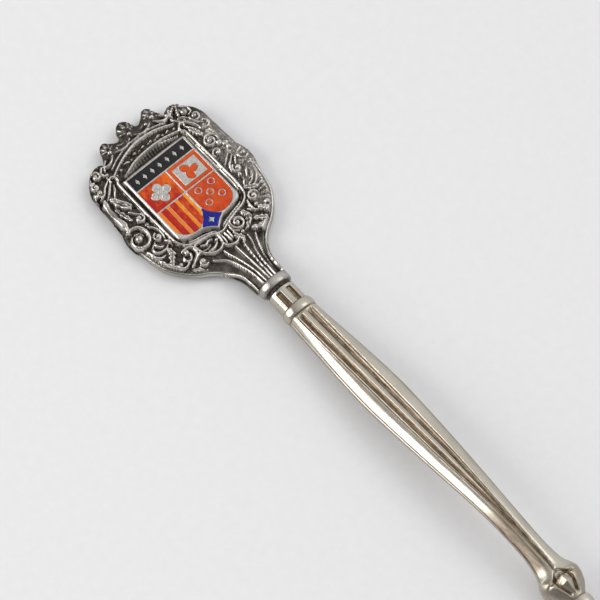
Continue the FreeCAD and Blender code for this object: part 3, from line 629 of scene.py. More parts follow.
def neck_rise(x):
    """How far the back of the neck is lifted, from the fan towards the ring."""
    return NECK_LIFT * smooth_step(9.5, RING_START, x)


def build_head():
    """The cast cartouche with all its ornament, and the value that the finish follows: wear that rubs
    the high places bright, and along the right side also a painted reflection of the floor.
    """
    patch = Patch(outlines("head_casting", HEAD_LOW[2], 0.25), 0.091)
    x, y, d = patch.x, patch.y, patch.d
    z = 1.0 + 0.3 * smooth_step(0, 1.6, d) + 0.07 * wobble(x, y, 0.5, 3)
    far_edge = np.clip(smooth_step(-8.6, -9.6, x) + smooth_step(6.8, 8.2, y), 0, 1)
    z += 0.65 * far_edge
    relief = Relief(x, y, z)
    for ornament in (fan, crown, ribbed_slope, left_shoulder, right_shoulder, left_side,
                     right_side, lower_left, lower_right, middle_tab):
        ornament(relief)
    # scraps of foliage fill the ground between the larger ornaments, but not under the badge
    rng = np.random.default_rng(11)
    for px, py, turn, length in rng.uniform((-9, -8.6, 0, 0.35), (9, 8.6, math.tau, 0.8),
                                            (SCRAPS, 4)):
        if abs(py) < 5.4 and -9.2 < px < 6.6:
            continue
        cx, cy = 0.5 * length * math.cos(turn), 0.5 * length * math.sin(turn)
        relief.ridge([(px - cx, py - cy), (px + 0.25 * cy, py - 0.25 * cx), (px + cx, py + cy)],
                     [0.1, 0.22, 0.1], [1.3, 1.48, 1.3])
    # the edge is rounded over, a rim runs round the lower half, and the badge's seat is sunk
    z = relief.z
    z -= (0.36 - 0.26 * far_edge) * (1 - np.clip(d / 0.45, 0, 1)) ** 2
    rim = smooth_step(1.5, 4.0, x) * smooth_step(0.6, 0.5, d) * smooth_step(12.5, 10.5, x)
    z += rim * (1.38 - 6.0 * (d - 0.26) ** 2 - z)
    gap = -signed_distance(x, y, outlines("shield_plate", SHIELD_LOW[2], 0.25))
    z[gap < FRAME_MARGIN] = SEAT_FLOOR
    frame_line(relief)
    z[:] = np.where(gap < SEAT_MARGIN, SEAT_FLOOR, z)
    z += 0.012 * wobble(x, y, 0.14, 5)
    coarse = z - patch.spread(z, 0.8)
    fine = z - patch.spread(z, 0.25)
    worn_and_sheen = smooth_step(0.04, 0.42, coarse) * 0.55 + smooth_step(0.02, 0.1, fine) * 0.5
    worn_and_sheen = worn_and_sheen * smooth_step(1.2, 1.75, z)
    # paler along the right side: partly dusty wear, partly a painted reflection of the floor on the
    # right-facing surfaces
    worn_and_sheen += 0.22 * smooth_step(5.0, 6.8, y) * smooth_step(-7.5, -5.5, x) * smooth_step(9, 7, x)
    worn_and_sheen = np.where(gap < 0.3, 0.0, worn_and_sheen)
    fan_part = smooth_step(8.8, 10.0, x)
    worn_and_sheen = worn_and_sheen * (1 - 0.35 * fan_part) + 0.5 * rim + 0.1 * fan_part
    # the crown and the neck stand out a little past the plate's flat outline
    patch.x = x - CROWN_OVERHANG * smooth_step(-7.6, -9.6, x) * smooth_step(-6.0, 1.0, y)
    patch.y = y * (1 + NECK_GROWTH * smooth_step(12, 15, x))
    piece = relief_solid("head_cartouche", patch, z, HEAD_LOW[2], 0.8, 0.5,
                         {"worn_and_sheen": np.clip(worn_and_sheen, 0, 1)}, rise=neck_rise)
    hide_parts("head_casting")
    return piece


# ---------------------------------------------------------------- swept pieces

def over(x, stations):
    """A smooth line through (place, value) stations, read at the places x."""
    line = smooth_line(stations, spacing=0.1)
    return np.interp(x, line[:, 0], line[:, 1])


TOP_POINTS = np.sin(np.radians(np.linspace(-90, 90, 141)))
ROUND_TOP = np.sqrt(1 - TOP_POINTS ** 2)
UNDER_POINTS = np.linspace(0, 1, 7)[1:]
BACK_POINTS = np.linspace(1, -1, 9)[1:-1]
FLARE_POWER = 1.6


def section(width, height, lift, edge, base, relief=0.0, profile=ROUND_TOP):
    """One closed section as (y, z) points: a dome over a shoulder, flared down to a flat back.

    Edge is the shoulder's share of the height, and base the back's share of the width."""
    side = width / 2
    dome = edge * height + (1 - edge) * height * profile + relief
    flare = side - (side - base * side) * UNDER_POINTS ** FLARE_POWER
    wall = edge * height * (1 - UNDER_POINTS)
    back = base * side * BACK_POINTS
    y = np.concatenate([side * TOP_POINTS, flare, back, -flare[::-1]])
    z = np.concatenate([dome, wall, 0 * back, wall[::-1]])
    return np.stack([y, z + lift], 1)


def sweep_solid(name, places, sections, values=None):
    """A closed solid through sections, with its ends filled by fans."""
    rings, points = len(places), len(sections[0])
    body = np.concatenate([
        np.column_stack([np.full(points, x), ring]) for x, ring in zip(places, sections)])
    ends = np.array([[places[0], 0, sections[0][:, 1].mean()],
                     [places[-1], 0, sections[-1][:, 1].mean()]])
    here = np.arange(points)
    after = np.roll(here, -1)
    faces = []
    for ring in range(rings - 1):
        a, b = ring * points, (ring + 1) * points
        faces += np.stack([a + here, b + here, b + after, a + after], 1).tolist()
    first, last = rings * points, rings * points + 1
    tail = (rings - 1) * points
    faces += np.stack([np.full(points, first), here, after], 1).tolist()
    faces += np.stack([np.full(points, last), tail + after, tail + here], 1).tolist()
    piece = make_object(name, np.vstack([body, ends]), faces)
    for key, rows in (values or {}).items():
        add_value(piece, key, np.concatenate([np.concatenate(rows), [0.0, 0.0]]))
    return piece


def bulge(x, start, end, power=2.6):
    """From 0 at both ends to 1 between them, as the side view of a round ring."""
    t = np.clip((x - start) / (end - start) * 2 - 1, -1, 1)
    return (1 - np.abs(t) ** power) ** (1 / power)


RING_EDGE = 0.38                          # shoulder of a turned ring, as a share of its height


def build_head_ring():
    """The rounded ring at the foot of the head."""
    overlap, length, full_height = 0.05, 1.1, 3.1
    start, end = BADGE_X + RING_START - overlap, BADGE_X + RING_START + length
    places = np.linspace(start, end, 27)
    sections, worn_and_sheen = [], []
    for x in places:
        swell = bulge(x, start - overlap, end + overlap, 2.2)
        width = 3.7 + 0.7 * swell
        height = 2.75 + 0.35 * swell
        lift = HEAD_HIGH[2] - full_height + 0.18 * (1 - swell)
        ring = section(width, height, lift, RING_EDGE, 0.62)
        sections.append(ring)
        worn_and_sheen.append(np.full(len(ring), 0.12 + 0.45 * swell))
    piece = sweep_solid("head_ring", places, sections, {"worn_and_sheen": worn_and_sheen})
    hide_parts("head_casting")
    return piece


# ---------------------------------------------------------------- handle

# Along the handle: where the panelled neck ends, the ring ends, the knop and the ferrule begin.
PANEL_END, RING_END, KNOP_START, FERRULE_START = 2.6, 4.0, 48.4, 53.2
SLOT_OFFSET = 0.74
SHAFT_EDGE = 0.4
# Stations along the handle, as (place, value).
SHAFT_WIDTH = [(4.0, 4.0), (8.7, 4.55), (14, 5.15), (18.9, 5.4), (24, 5.05), (29.4, 4.5),
               (38, 3.45), (43, 3.15), (46, 3.25), (48, 3.9), (49.1, 5.0), (50.0, 5.45),
               (50.9, 5.1), (51.9, 4.2), (52.7, 2.9), (53.2, 2.3)]
SHAFT_HEIGHT = [(4.0, 1.85), (8.7, 1.6), (18.9, 1.5), (29.4, 1.45), (38, 1.4), (44.8, 1.55),
                (48.5, 2.05), (50.2, 2.65), (51.9, 2.4), (53.2, 1.95)]
SHAFT_LIFT = [(4.0, 1.6), (8.7, 2.15), (18.9, 3.05), (29.4, 3.8), (38, 4.15), (44.8, 3.5),
              (48.5, 2.55), (50.2, 2.0), (51.9, 1.9), (53.2, 2.0)]
GROOVE_OFFSET = [(4.0, 0.76), (18.9, 0.7), (25, 0.64), (29.4, 0.58), (34, 0.42), (38, 0.28),
                 (42, 0.16), (49, 0.1)]
GROOVE_HALF = [(4.0, 0.5), (18.9, 0.49), (29.4, 0.4), (38, 0.28), (45, 0.21), (49, 0.16)]


def shaft_top(x, s):
    """Height of the shaft's top, 0 at the shoulders and 1 along the middle: flat, then sloped."""
    flat = (over(x, GROOVE_OFFSET) + over(x, GROOVE_HALF)) / (over(x, SHAFT_WIDTH) / 2)
    down = np.clip((np.abs(s) - flat) / (1 - flat), 0, 1)
    return 1 - 0.1 * np.clip(np.abs(s) / flat, 0, 1) ** 2 - 0.9 * down ** 1.7


def shaft_relief(x, y):
    """Height added to the shaft's top, and its brown value: tarnish in its grooves and edge seam, and a
    painted dark reflection along its lower side towards the knop.
    """
    offset, half = over(x, GROOVE_OFFSET), over(x, GROOVE_HALF)
    start = smooth_step(4.05, 4.6, x)
    fade = start * smooth_step(49.6, 48.4, x)
    gap = np.abs(y) - offset
    inside = np.clip(1 - (gap / half) ** 2, 0, 1)
    line = np.exp(-((gap - 0.42 * half) / (0.17 * half)) ** 2)
    cut = -0.24 * inside ** 0.6 + 0.15 * line
    lip = 0.05 * np.exp(-((np.abs(gap) - half) / 0.07) ** 2)
    rib = -0.12 * smooth_step(30, 44, x) * np.exp(-(y / (offset + 0.1)) ** 2)
    tarnish_and_dark_reflection = smooth_step(0.02, 0.4, inside) * (1 - 0.8 * line)
    seam = np.exp(-((np.abs(y) / (over(x, SHAFT_WIDTH) / 2) - 0.95) / 0.018) ** 2)
    # painted dark reflection: brown along the shaft's lower side from x 37 to 49, standing in for
    # something dark reflected there
    brown = 0.7 * smooth_step(37, 41, x) * smooth_step(49, 47, x) * smooth_step(-0.3, -0.6, y)
    tarnish_and_dark_reflection = fade * np.maximum(tarnish_and_dark_reflection, 0.9 * seam) + brown
    return fade * (cut + lip + rib - 0.12 * seam), np.clip(tarnish_and_dark_reflection, 0, 1)


def knop_relief(x, y):
    """The flared end: a valley each side of a middle leaf, and two side leaves."""
    leaf_middle, leaf_reach, leaf_height = 51.15, 1.55, 0.62
    along = np.abs(x - leaf_middle) / leaf_reach
    leaf = leaf_height * np.clip(1 - along - np.abs(y), 0, 1) ** 0.8
    wing = np.clip(1 - np.abs(x - 51.0) / 1.9, 0, 1)
    wing_line = 1.75 - 0.45 * (x - 50.2)
    side = 0.34 * wing * np.exp(-((np.abs(y) - wing_line) / 0.5) ** 2)
    valley_line = np.interp(x, [48.9, 50.0, 50.9, 52.4], [0.1, 0.95, 1.05, 0.5])
    valley = -0.34 * smooth_step(48.6, 49.8, x) * smooth_step(53.0, 52.2, x)
    valley = valley * np.exp(-((np.abs(y) - valley_line) / 0.2) ** 2)
    cross = -0.24 * np.exp(-((x - 49.75 - 0.25 * np.abs(y)) / 0.2) ** 2)
    cross = cross * smooth_step(2.6, 1.2, np.abs(y))
    tarnish_and_dark_reflection = np.clip(-(valley + cross) / 0.3, 0, 1)
    tarnish_and_dark_reflection = np.maximum(tarnish_and_dark_reflection, 0.45 * smooth_step(49, 50, x) - 0.4 * leaf)
    return leaf + side + valley + cross, tarnish_and_dark_reflection


def panel_relief(x, y):
    """Two sunk slots with rounded ends in the neck of the handle."""
    along = smooth_step(0.3, 0.55, x) * smooth_step(2.62, 2.45, x)
    gap = np.abs(np.abs(y) - SLOT_OFFSET)
    across = smooth_step(0.37, 0.24, gap)
    lip = 0.05 * smooth_step(0.5, 0.42, gap) * along
    return lip - 0.4 * along * across, along * across


def handle_shape(x, length):
    """Width, height, lift, edge and base of the handle's section at one place."""
    if x < PANEL_END:
        return 3.75, 2.75, 0.78, RING_EDGE, 0.66
    if x < RING_END:
        swell = bulge(x, PANEL_END, RING_END, 2.4)
        return 3.75 + 0.65 * swell, 2.55 + 0.5 * swell, 1.08 - 0.23 * swell, RING_EDGE, 0.64
    if x < FERRULE_START:
        return over(x, SHAFT_WIDTH), over(x, SHAFT_HEIGHT), over(x, SHAFT_LIFT), SHAFT_EDGE, 1.0
    swell = bulge(x, FERRULE_START - 0.05, length + 0.1, 2.4)
    return 2.3 + 0.7 * swell, 1.95 + 0.35 * swell, 2.0 - 0.15 * swell, RING_EDGE, 0.64


def handle_relief(x, y):
    """Height added to the handle's top at one place, and its brown value: tarnish, and on the shaft a
    painted dark reflection.
    """
    if x < PANEL_END:
        return panel_relief(x, y)
    if x < RING_END or x >= FERRULE_START:
        return 0 * y, 0 * y
    raised, dark = shaft_relief(x, y)
    if x > KNOP_START:
        knop, knop_dark = knop_relief(x, y)
        raised, dark = raised + knop, dark + knop_dark
    return raised, dark


def build_handle():
    """Panelled neck, ring, fluted shaft, leaf knop and ferrule, swept along the handle."""
    step = 0.13
    length = HANDLE_HIGH[0] - HANDLE_LOW[0]
    places = np.unique(np.concatenate([
        np.arange(0, 4.6, 0.06), np.arange(4.6, 48, step), np.arange(48, length, 0.07),
        [length]]))
    edge_fade = (1 - TOP_POINTS ** 2) ** 0.25
    sections, tarnish_and_dark_reflection = [], []
    for x in places:
        shape = handle_shape(x, length)
        y = shape[0] / 2 * TOP_POINTS
        raised, dark = handle_relief(x, y)
        profile = ROUND_TOP
        if RING_END <= x < FERRULE_START:
            faceted = smooth_step(50.0, 47.5, x)
            profile = faceted * shaft_top(x, TOP_POINTS) + (1 - faceted) * profile
        ring = section(*shape, relief=raised * edge_fade, profile=profile)
        sections.append(ring)
        # a faint brown over the whole underside, so it is a little darker underneath
        under = np.full(len(ring) - len(y), 0.15)
        tarnish_and_dark_reflection.append(np.concatenate([np.clip(dark, 0, 1), under]))
    # dark lines where the ring meets its neighbours, and where the ferrule begins
    seams = (PANEL_END + 0.05, RING_END - 0.02, FERRULE_START)
    for x, row in zip(places, tarnish_and_dark_reflection):
        row += 0.9 * math.exp(-(min(abs(x - seam) for seam in seams) / 0.09) ** 2)
    piece = sweep_solid("handle_body", places + HANDLE_LOW[0], sections,
                        {"tarnish_and_dark_reflection": [np.clip(row, 0, 1) for row in tarnish_and_dark_reflection]})
    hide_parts("handle_shaft")
    return piece


# ---------------------------------------------------------------- bowl

TIP_LENGTH, HEEL_LENGTH, BOWL_HALF_WIDTH, BOWL_WALL = 23.05, 17.5, 13.3, 0.9
# Stations of the stem, as (distance from the bowl's widest place, value).
STEM_WIDTH = [(-22.85, 2.7), (-21.6, 2.1), (-20, 2.15), (-18.2, 2.9), (-16.4, 2.3), (-14.6, 0.9)]
STEM_HEIGHT = [(-22.85, 2.0), (-20.9, 1.85), (-18.2, 1.8), (-16.4, 1.1), (-14.6, 0.5)]
STEM_LIFT = [(-22.85, 2.0), (-20.9, 2.75), (-18.2, 4.2), (-17, 4.3), (-15.8, 3.6), (-14.6, 2.9)]


def bowl_profile(depth):
    """From the bottom outside, over the rim, to the bottom inside: (scale, inset, height)."""
    turns = np.radians(np.linspace(3, 90, 26))
    outside = [(math.sin(turn), 0.0, depth * (1 - math.cos(turn))) for turn in turns]
    rim = [(1.0, 0.25, depth + 0.06), (1.0, 0.6, depth + 0.02)]
    inside = [(math.sin(turn), BOWL_WALL * math.sin(turn),
               BOWL_WALL + (depth - BOWL_WALL) * (1 - math.cos(turn)))
              for turn in np.radians(np.linspace(90, 3, 26))]
    return outside + rim + inside


def build_bowl():
    """The egg-shaped bowl and its stem, fused and smoothed into one skin."""
    middle = BOWL_HIGH[0] - TIP_LENGTH
    count = 120
    around = np.linspace(0, math.tau, count, endpoint=False)
    reach = np.where(np.cos(around) > 0, TIP_LENGTH, HEEL_LENGTH)
    rings = []
    for scale, inset, z in bowl_profile(BOWL_HIGH[2] - BOWL_LOW[2]):
        x = (reach * scale - inset) * np.cos(around)
        y = (BOWL_HALF_WIDTH * scale - inset) * np.sin(around)
        rings.append(np.column_stack([x + middle, y, np.full(count, z)]))
    here, after = np.arange(count), np.roll(np.arange(count), -1)
    faces = []
    for ring in range(len(rings) - 1):
        a, b = ring * count, (ring + 1) * count
        faces += np.stack([a + after, b + after, b + here, a + here], 1).tolist()
    faces.append(here.tolist())
    faces.append(((len(rings) - 1) * count + here)[::-1].tolist())
    shell = make_object("bowl_shell", np.vstack(rings), faces)

    places = np.linspace(-22.83, -14.6, 60)
    sections = [section(over(x, STEM_WIDTH), over(x, STEM_HEIGHT), over(x, STEM_LIFT),
                        RING_EDGE, 0.62) for x in places]
    stem = sweep_solid("bowl_stem", places + middle, sections)
    return fuse("bowl_body", (shell, stem), 0.26)


def fuse(name, solids, voxel):
    """The solids joined through a voxel remesh, then relaxed, as one smooth skin."""
    bpy.ops.object.select_all(action="DESELECT")
    for solid in solids:
        solid.select_set(True)
    bpy.context.view_layer.objects.active = solids[0]
    bpy.ops.object.join()
    joined = solids[0]
    remesh = joined.modifiers.new("skin", "REMESH")
    remesh.mode = "VOXEL"
    remesh.voxel_size = voxel * MM
    remesh.use_smooth_shade = True
    relax = joined.modifiers.new("relax", "SMOOTH")
    relax.factor = 0.5
    relax.iterations = 8
    result = bpy.data.meshes.new_from_object(
        joined.evaluated_get(bpy.context.evaluated_depsgraph_get()))
    bpy.data.objects.remove(joined)
    result.name = name
    result.polygons.foreach_set("use_smooth", [True] * len(result.polygons))
    piece = add_object(name, result)
    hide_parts("bowl_blade")
    return piece


# ---------------------------------------------------------------- solder and adhesive

def build_seam(node, width, height, seed):
    """A solder seam: a waisted, lumpy band between two castings; seed shifts its lumps."""
    low, high = box_mm(node)
    places = np.linspace(low[0], high[0], 13)
    sections = []
    for x in places:
        t = (x - low[0]) / (high[0] - low[0]) * 2 - 1
        waist = 1 - 0.06 * (1 - t * t)
        ring = section(width * waist, height * waist, low[2] + 0.02, RING_EDGE, 0.64)
        centre = ring.mean(0)
        turn = np.arctan2(ring[:, 1] - centre[1], ring[:, 0] - centre[0])
        lumps = 1 + 0.02 * np.sin(9 * turn + 11 * x + seed) + 0.014 * np.sin(23 * turn - 17 * x)
        sections.append(centre + (ring - centre) * lumps[:, None])
    piece = sweep_solid(node + "_bead", places, sections)
    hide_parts(node)
    return piece


def build_adhesive():
    """The film under the badge, with an uneven edge."""
    patch = Patch(outlines("badge_adhesive", SEAT_FLOOR, 0.2), 0.16)
    top = SHIELD_LOW[2] - 0.02 * smooth_step(0.4, 0.0, patch.d)
    x = patch.x - patch.nx * 0.03 * (1 + wobble(patch.x, patch.y, 0.3, 9))
    patch.x = np.where(patch.d < 0.2, x, patch.x)
    piece = relief_solid("adhesive_film", patch, top, SEAT_FLOOR)
    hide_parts("badge_adhesive")
    return piece


# ---------------------------------------------------------------- badge

ENAMELS = {
    "enamel_band_black": "black_glass",
    "enamel_field_red": "red_glass",
    "enamel_frame_orange": "orange_glass",
    "enamel_sprig_orange": "orange_glass",
    "enamel_stripes_yellow": "yellow_glass",
    "enamel_stripes_red": "red_glass",
    "enamel_field_orange": "orange_glass",
    "enamel_studs_red": "red_glass",
    "enamel_base_blue": "blue_glass",
}


STRIPE_GROWTH = 0.05                      # each side, over the thin walls between stripes


def build_shield():
    """The badge's metal: a rounded rim, walls between the enamels, and a veined rosette."""
    patch = Patch(outlines("shield_plate", SHIELD_LOW[2], 0.2), 0.055)
    x, y, d = patch.x, patch.y, patch.d
    cells = np.full(x.shape, -9.0)
    for node in ENAMELS:
        cells = np.maximum(cells, signed_distance(x, y, outlines(node, BADGE_TOP, 0.2)))
    rosette = face_loops("enamel_field_red", BADGE_TOP)
    rosette = min(rosette, key=lambda loop: np.ptp(loop[:, 0]))
    middle = (rosette.min(0) + rosette.max(0)) / 2
    z = np.full(x.shape, BADGE_TOP)
    relief = Relief(x, y, z)
    for turn in range(4):
        angle = math.radians(90 * turn)
        ahead = np.array([math.cos(angle), math.sin(angle)])
        across = np.array([-ahead[1], ahead[0]])
        relief.groove([middle + 0.35 * ahead, middle + 0.7 * ahead, middle + 1.05 * ahead],
                      0.14, 0.1)
        for side in (-1, 1):
            relief.groove([middle + 0.45 * ahead + 0.12 * side * across,
                           middle + 0.8 * ahead + 0.3 * side * across,
                           middle + 1.0 * ahead + 0.28 * side * across], 0.12, 0.08)
    relief.groove([middle + 0.26 * np.array([math.cos(a), math.sin(a)])
                   for a in np.linspace(0, math.tau, 13)], 0.1, 0.08)
    z -= 0.24 * (1 - np.clip(d / 0.3, 0, 1)) ** 2
    z -= 0.05 * smooth_step(-0.09, 0.0, cells) + 0.34 * smooth_step(0.0, 0.07, cells)
    z += 0.008 * wobble(x, y, 0.16, 21)
    piece = relief_solid("badge_metal_plate", patch, z, SHIELD_LOW[2])
    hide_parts("shield_plate")
    return piece


def build_enamel(node):
    """One colour of enamel: glass that fills its cells, a little crowned, with a soft edge."""
    loops = outlines(node, BADGE_TOP, 0.2)
    if "stripes" in node:
        for loop in loops:
            middle = (loop[:, 1].min() + loop[:, 1].max()) / 2
            loop[:, 1] += STRIPE_GROWTH * np.sign(loop[:, 1] - middle)
    patch = Patch(loops, 0.05)
    z = BADGE_TOP - 0.035 + 0.03 * smooth_step(0, 0.16, patch.d)
    z += 0.005 * wobble(patch.x, patch.y, 0.5, 31)
    warm = 0.5 * smooth_step(-4.3, 0.6, patch.y) + 0.35 * smooth_step(0.5, -3.6, patch.x)
    warm += 0.2 * wobble(patch.x, patch.y, 0.8, 41)
    piece = relief_solid(node + "_glass", patch, z, ENAMEL_FLOOR, values={"warm": warm - 0.2})
    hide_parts(node)
    return piece


# ---------------------------------------------------------------- materials

def set_stops(node, stops):
    """Give a colour ramp its stops, each a (place, colour or grey)."""
    elements = node.color_ramp.elements
    while len(elements) < len(stops):
        elements.new(0.5)
    for element, (position, colour) in zip(elements, stops):
        element.position = position
        element.color = (*(colour if isinstance(colour, tuple) else (colour,) * 3), 1)


class Nodes:
    """A material's node tree, with short calls for the nodes used here."""

    def __init__(self, name):
        self.material = bpy.data.materials.new(name)
        self.material.use_nodes = True
        self.tree = self.material.node_tree
        self.shader = self.tree.nodes["Principled BSDF"]
        self.place = self.tree.nodes.new("ShaderNodeTexCoord").outputs["Object"]

    def link(self, output, target):
        self.tree.links.new(output, target)

    def value(self, name):
        node = self.tree.nodes.new("ShaderNodeAttribute")
        node.attribute_name = name
        return node.outputs["Fac"]

    def noise(self, size_mm, detail=4.0, roughness=0.55, stretch=None):
        """Noise with lumps of about size_mm; stretch makes them longer along one axis."""
        node = self.tree.nodes.new("ShaderNodeTexNoise")
        node.inputs["Scale"].default_value = 1 / (size_mm * MM)
        node.inputs["Detail"].default_value = detail
        node.inputs["Roughness"].default_value = roughness
        place = self.place
        if stretch:
            mapping = self.tree.nodes.new("ShaderNodeMapping")
            mapping.inputs["Scale"].default_value = stretch
            self.link(place, mapping.inputs["Vector"])
            place = mapping.outputs["Vector"]
        self.link(place, node.inputs["Vector"])
        return node.outputs["Fac"]

    def ramp(self, factor, *stops):
        node = self.tree.nodes.new("ShaderNodeValToRGB")
        set_stops(node, stops)
        self.link(factor, node.inputs["Fac"])
        return node.outputs["Color"]

    def mix(self, factor, a, b):
        node = self.tree.nodes.new("ShaderNodeMix")
        node.data_type = "RGBA"
        self.link(factor, node.inputs["Factor"])
        for item, key in ((a, "A"), (b, "B")):
            self.link(item, [s for s in node.inputs if s.name == key and s.type == "RGBA"][0])
        return [s for s in node.outputs if s.type == "RGBA"][0]

    def math(self, kind, a, b):
        node = self.tree.nodes.new("ShaderNodeMath")
        node.operation = kind
        node.use_clamp = True
        self.link(a, node.inputs[0])
        self.link(b, node.inputs[1])
        return node.outputs["Value"]

    def bump(self, height, depth_mm, normal=None):
        node = self.tree.nodes.new("ShaderNodeBump")
        node.inputs["Distance"].default_value = depth_mm * MM
        self.link(height, node.inputs["Height"])
        if normal:
            self.link(normal, node.inputs["Normal"])
        return node.outputs["Normal"]

    def finish(self, colour, roughness, normal, **settings):
        """The finished material; settings are constants on the shader's own sockets."""
        for item, key in ((colour, "Base Color"), (roughness, "Roughness"), (normal, "Normal")):
            self.link(item, self.shader.inputs[key])
        for key, item in settings.items():
            self.shader.inputs[key.replace("_", " ")].default_value = item
        return self.material


def oxidised_silver():
    """Cast silver, blackened in its recesses and rubbed bright on its high places; the value it follows
    also paints a paler reflection of the floor along the head's right side.
    """
    n = Nodes("oxidised_silver")
    blotch = n.noise(1.6, 5)
    grain = n.noise(0.12, 6, 0.7)
    rubbed_and_sheen = n.math("ADD", n.value("worn_and_sheen"), n.ramp(blotch, (0.4, 0.0), (0.75, 0.16)))
    dark = n.ramp(n.noise(0.7, 5), (0.3, (0.036, 0.031, 0.027)), (0.7, (0.1, 0.088, 0.076)))
    bright = n.ramp(grain, (0.3, (0.5, 0.47, 0.43)), (0.7, (0.7, 0.67, 0.62)))
    colour = n.mix(n.ramp(rubbed_and_sheen, (0.1, 0.0), (0.85, 1.0)), dark, bright)
    roughness = n.ramp(rubbed_and_sheen, (0.0, 0.42), (0.8, 0.2))
    normal = n.bump(grain, 0.012, n.bump(blotch, 0.02))
    return n.finish(colour, roughness, normal, Metallic=1.0)


def bright_silver(name, with_brown_marks):
    """Polished silver plate with fine scratches, faint yellowing and brown grooves; with the flag set,
    the brown follows a value that also paints a dark reflection on the handle.
    """
    n = Nodes(name)
    cloud = n.noise(5.0, 4)
    speck = n.noise(0.35, 5, 0.65)
    scratch = n.noise(0.25, 3, 0.6, (0.06, 1.0, 1.0))
    clean = n.ramp(cloud, (0.3, (0.45, 0.415, 0.345)), (0.7, (0.53, 0.495, 0.43)))
    colour = n.mix(n.ramp(speck, (0.62, 0.0), (0.8, 0.35)), clean,
                   n.ramp(speck, (0.0, (0.3, 0.25, 0.18)), (1.0, (0.4, 0.34, 0.27))))
    roughness = n.ramp(scratch, (0.3, 0.2), (0.7, 0.32))
    if with_brown_marks:
        # the brown mixed in here is tarnish, and also the painted dark reflection on the handle's lower
        # side
        streak = n.noise(0.5, 6, 0.7, (0.25, 2.0, 2.0))
        brown = n.ramp(streak, (0.36, (0.055, 0.032, 0.018)), (0.5, (0.16, 0.105, 0.06)),
                       (0.68, (0.42, 0.33, 0.22)))
        amount = n.math("MULTIPLY", n.value("tarnish_and_dark_reflection"), n.ramp(speck, (0.25, 0.75), (0.6, 1.0)))
        colour = n.mix(amount, colour, brown)
        roughness = n.mix(amount, roughness, n.ramp(speck, (0.0, 0.4), (1.0, 0.55)))
    normal = n.bump(scratch, 0.004, n.bump(cloud, 0.03))
    return n.finish(colour, roughness, normal, Metallic=1.0)


def badge_silver():
    n = Nodes("badge_silver")
    speck = n.noise(0.22, 6, 0.7)
    colour = n.ramp(speck, (0.3, (0.2, 0.185, 0.17)), (0.44, (0.46, 0.44, 0.41)),
                    (0.6, (0.58, 0.56, 0.53)))
    roughness = n.ramp(n.noise(0.6), (0.3, 0.26), (0.7, 0.4))
    return n.finish(colour, roughness, n.bump(speck, 0.014), Metallic=1.0)


def glass_enamel(name, deep, light):
    """Fired enamel: glossy, warmer towards one corner, clouded, with tiny pits."""
    n = Nodes(name)
    cloud = n.noise(0.45, 5, 0.65, (0.4, 1.0, 1.0))
    tone = n.math("ADD", n.value("warm"), n.ramp(cloud, (0.35, 0.0), (0.65, 0.4)))
    colour = n.ramp(tone, (0.15, deep), (0.95, light))
    pits = n.noise(0.16, 4, 0.6)
    roughness = n.ramp(pits, (0.4, 0.12), (0.8, 0.3))
    return n.finish(colour, roughness, n.bump(pits, 0.006), Coat_Weight=0.1,
                    Coat_Roughness=0.08, Specular_IOR_Level=0.22)


def solder_grey():
    n = Nodes("solder_grey")
    lump = n.noise(0.3, 5, 0.6)
    colour = n.ramp(lump, (0.4, (0.025, 0.02, 0.016)), (0.75, (0.2, 0.18, 0.155)))
    roughness = n.ramp(lump, (0.3, 0.6), (0.7, 0.38))
    return n.finish(colour, roughness, n.bump(lump, 0.05), Metallic=1.0)


def amber_adhesive():
    n = Nodes("amber_adhesive")
    cloud = n.noise(0.5, 4)
    colour = n.ramp(cloud, (0.3, (0.16, 0.1, 0.05)), (0.7, (0.34, 0.25, 0.14)))
    roughness = n.ramp(cloud, (0.3, 0.35), (0.7, 0.6))
    return n.finish(colour, roughness, n.bump(cloud, 0.02))


def pale_paper():
    """The plain pale floor."""
    n = Nodes("pale_paper")
    fibre = n.noise(1.2, 5, 0.6)
    colour = n.ramp(fibre, (0.3, (0.815, 0.815, 0.825)), (0.7, (0.84, 0.84, 0.85)))
    roughness = n.ramp(fibre, (0.0, 0.85), (1.0, 0.95))
    return n.finish(colour, roughness, n.bump(fibre, 0.02), Specular_IOR_Level=0.2)


# ---------------------------------------------------------------- put together

def dress(piece, material):
    piece.data.materials.clear()
    piece.data.materials.append(material)
    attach(piece, "root")


def build_spoon():
    oxidised = oxidised_silver()
    for piece in (build_head(), build_head_ring()):
        dress(piece, oxidised)
    dress(build_handle(), bright_silver("handle_silver", True))
    dress(build_bowl(), bright_silver("bowl_silver", False))
    dress(build_shield(), badge_silver())
    glasses = {
        "black_glass": glass_enamel("black_glass", (0.005, 0.005, 0.006), (0.014, 0.013, 0.014)),
        "red_glass": glass_enamel("red_glass", (0.42, 0.01, 0.002), (0.8, 0.15, 0.006)),
        "orange_glass": glass_enamel("orange_glass", (0.5, 0.035, 0.003), (0.66, 0.09, 0.006)),
        "yellow_glass": glass_enamel("yellow_glass", (0.78, 0.2, 0.01), (0.88, 0.45, 0.05)),
        "blue_glass": glass_enamel("blue_glass", (0.001, 0.006, 0.16), (0.002, 0.014, 0.3)),
    }
    for node, glass in ENAMELS.items():
        dress(build_enamel(node), glasses[glass])
    dress(build_adhesive(), amber_adhesive())
    solder = solder_grey()
    dress(build_seam("solder_head_joint", 3.55, 2.65, 1.0), solder)
    dress(build_seam("solder_bowl_joint", 2.36, 1.86, 4.0), solder)


# ---------------------------------------------------------------- floor, light and camera

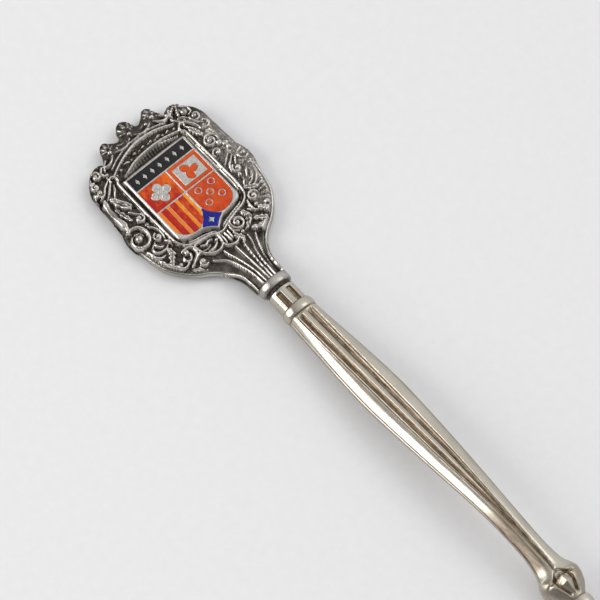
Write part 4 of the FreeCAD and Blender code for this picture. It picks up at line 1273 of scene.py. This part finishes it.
VIEW_TURN, VIEW_HEIGHT = math.radians(49.05), math.radians(65)
VIEW_TARGET = Vector((-33.6, 0.99, 2.1)) * MM
LENS_LENGTH = 1016.88                     # millimetres, so the picture is 70.8 mm wide
VIEW_DISTANCE, LIGHT_DISTANCE = 2.0, 0.8  # metres
SENSOR_WIDTH = 36.0                       # millimetres


def direction(turn, height):
    return Vector((math.sin(turn) * math.cos(height), -math.cos(turn) * math.cos(height),
                   math.sin(height)))


def aim(thing, turn, height, distance):
    """Put a light or camera that far from the middle of the view, facing it."""
    toward = direction(turn, height)
    thing.location = VIEW_TARGET + toward * distance
    thing.rotation_euler = toward.to_track_quat("Z", "Y").to_euler()


def build_floor():
    """A plain sheet, just under the spoon and far larger than the view."""
    reach, drop = 3000, 0.02
    corners = [(-reach, -reach, -drop), (reach, -reach, -drop), (reach, reach, -drop),
               (-reach, reach, -drop)]
    floor = make_object("floor", corners, [(0, 1, 2, 3)])
    floor.data.materials.append(pale_paper())


def area_light(name, turn, height, size, power, colour=(1, 1, 1), wide=None):
    """A soft box that faces the middle of the view; angles are in degrees."""
    light = bpy.data.lights.new(name, "AREA")
    light.shape = "RECTANGLE"
    light.size = size
    light.size_y = wide or size
    light.energy = power
    light.color = colour
    aim(add_object(name, light), math.radians(turn), math.radians(height), LIGHT_DISTANCE)


def build_world():
    """A pale studio, brighter towards +Y and dimmer towards -Y and the ground."""
    world = bpy.data.worlds.new("studio")
    bpy.context.scene.world = world
    world.use_nodes = True
    tree = world.node_tree
    background = tree.nodes["Background"]
    place = tree.nodes.new("ShaderNodeTexCoord").outputs["Generated"]
    turned = tree.nodes.new("ShaderNodeMapping")
    turned.inputs["Rotation"].default_value = (math.radians(50), 0, 0)
    tree.links.new(place, turned.inputs["Vector"])
    split = tree.nodes.new("ShaderNodeSeparateXYZ")
    tree.links.new(turned.outputs["Vector"], split.inputs["Vector"])
    ramp = tree.nodes.new("ShaderNodeValToRGB")
    greys = [(0.0, 0.31), (0.2, 0.38), (0.5, 0.72), (0.8, 1.0), (1.0, 1.04)]
    set_stops(ramp, [(position, (grey, grey, grey * 1.01)) for position, grey in greys])
    tree.links.new(split.outputs["Z"], ramp.inputs["Fac"])
    tree.links.new(ramp.outputs["Color"], background.inputs["Color"])
    background.inputs["Strength"].default_value = 0.96


def build_camera():
    """A long lens far away, so that parallel lines stay nearly parallel."""
    camera = bpy.data.cameras.new("camera")
    camera.sensor_width = SENSOR_WIDTH
    camera.lens = LENS_LENGTH
    camera.clip_start = 0.01
    camera.dof.use_dof = False
    holder = add_object("camera", camera)
    aim(holder, VIEW_TURN, VIEW_HEIGHT, VIEW_DISTANCE)
    bpy.context.scene.camera = holder


build_spoon()
build_floor()
build_world()
area_light("window", -30, 28, 0.52, 3.8, (1.0, 0.985, 0.96), 0.58)
area_light("far_window", 172, 50, 0.4, 0.8)
build_camera()
bpy.context.scene.view_settings.view_transform = "Standard"
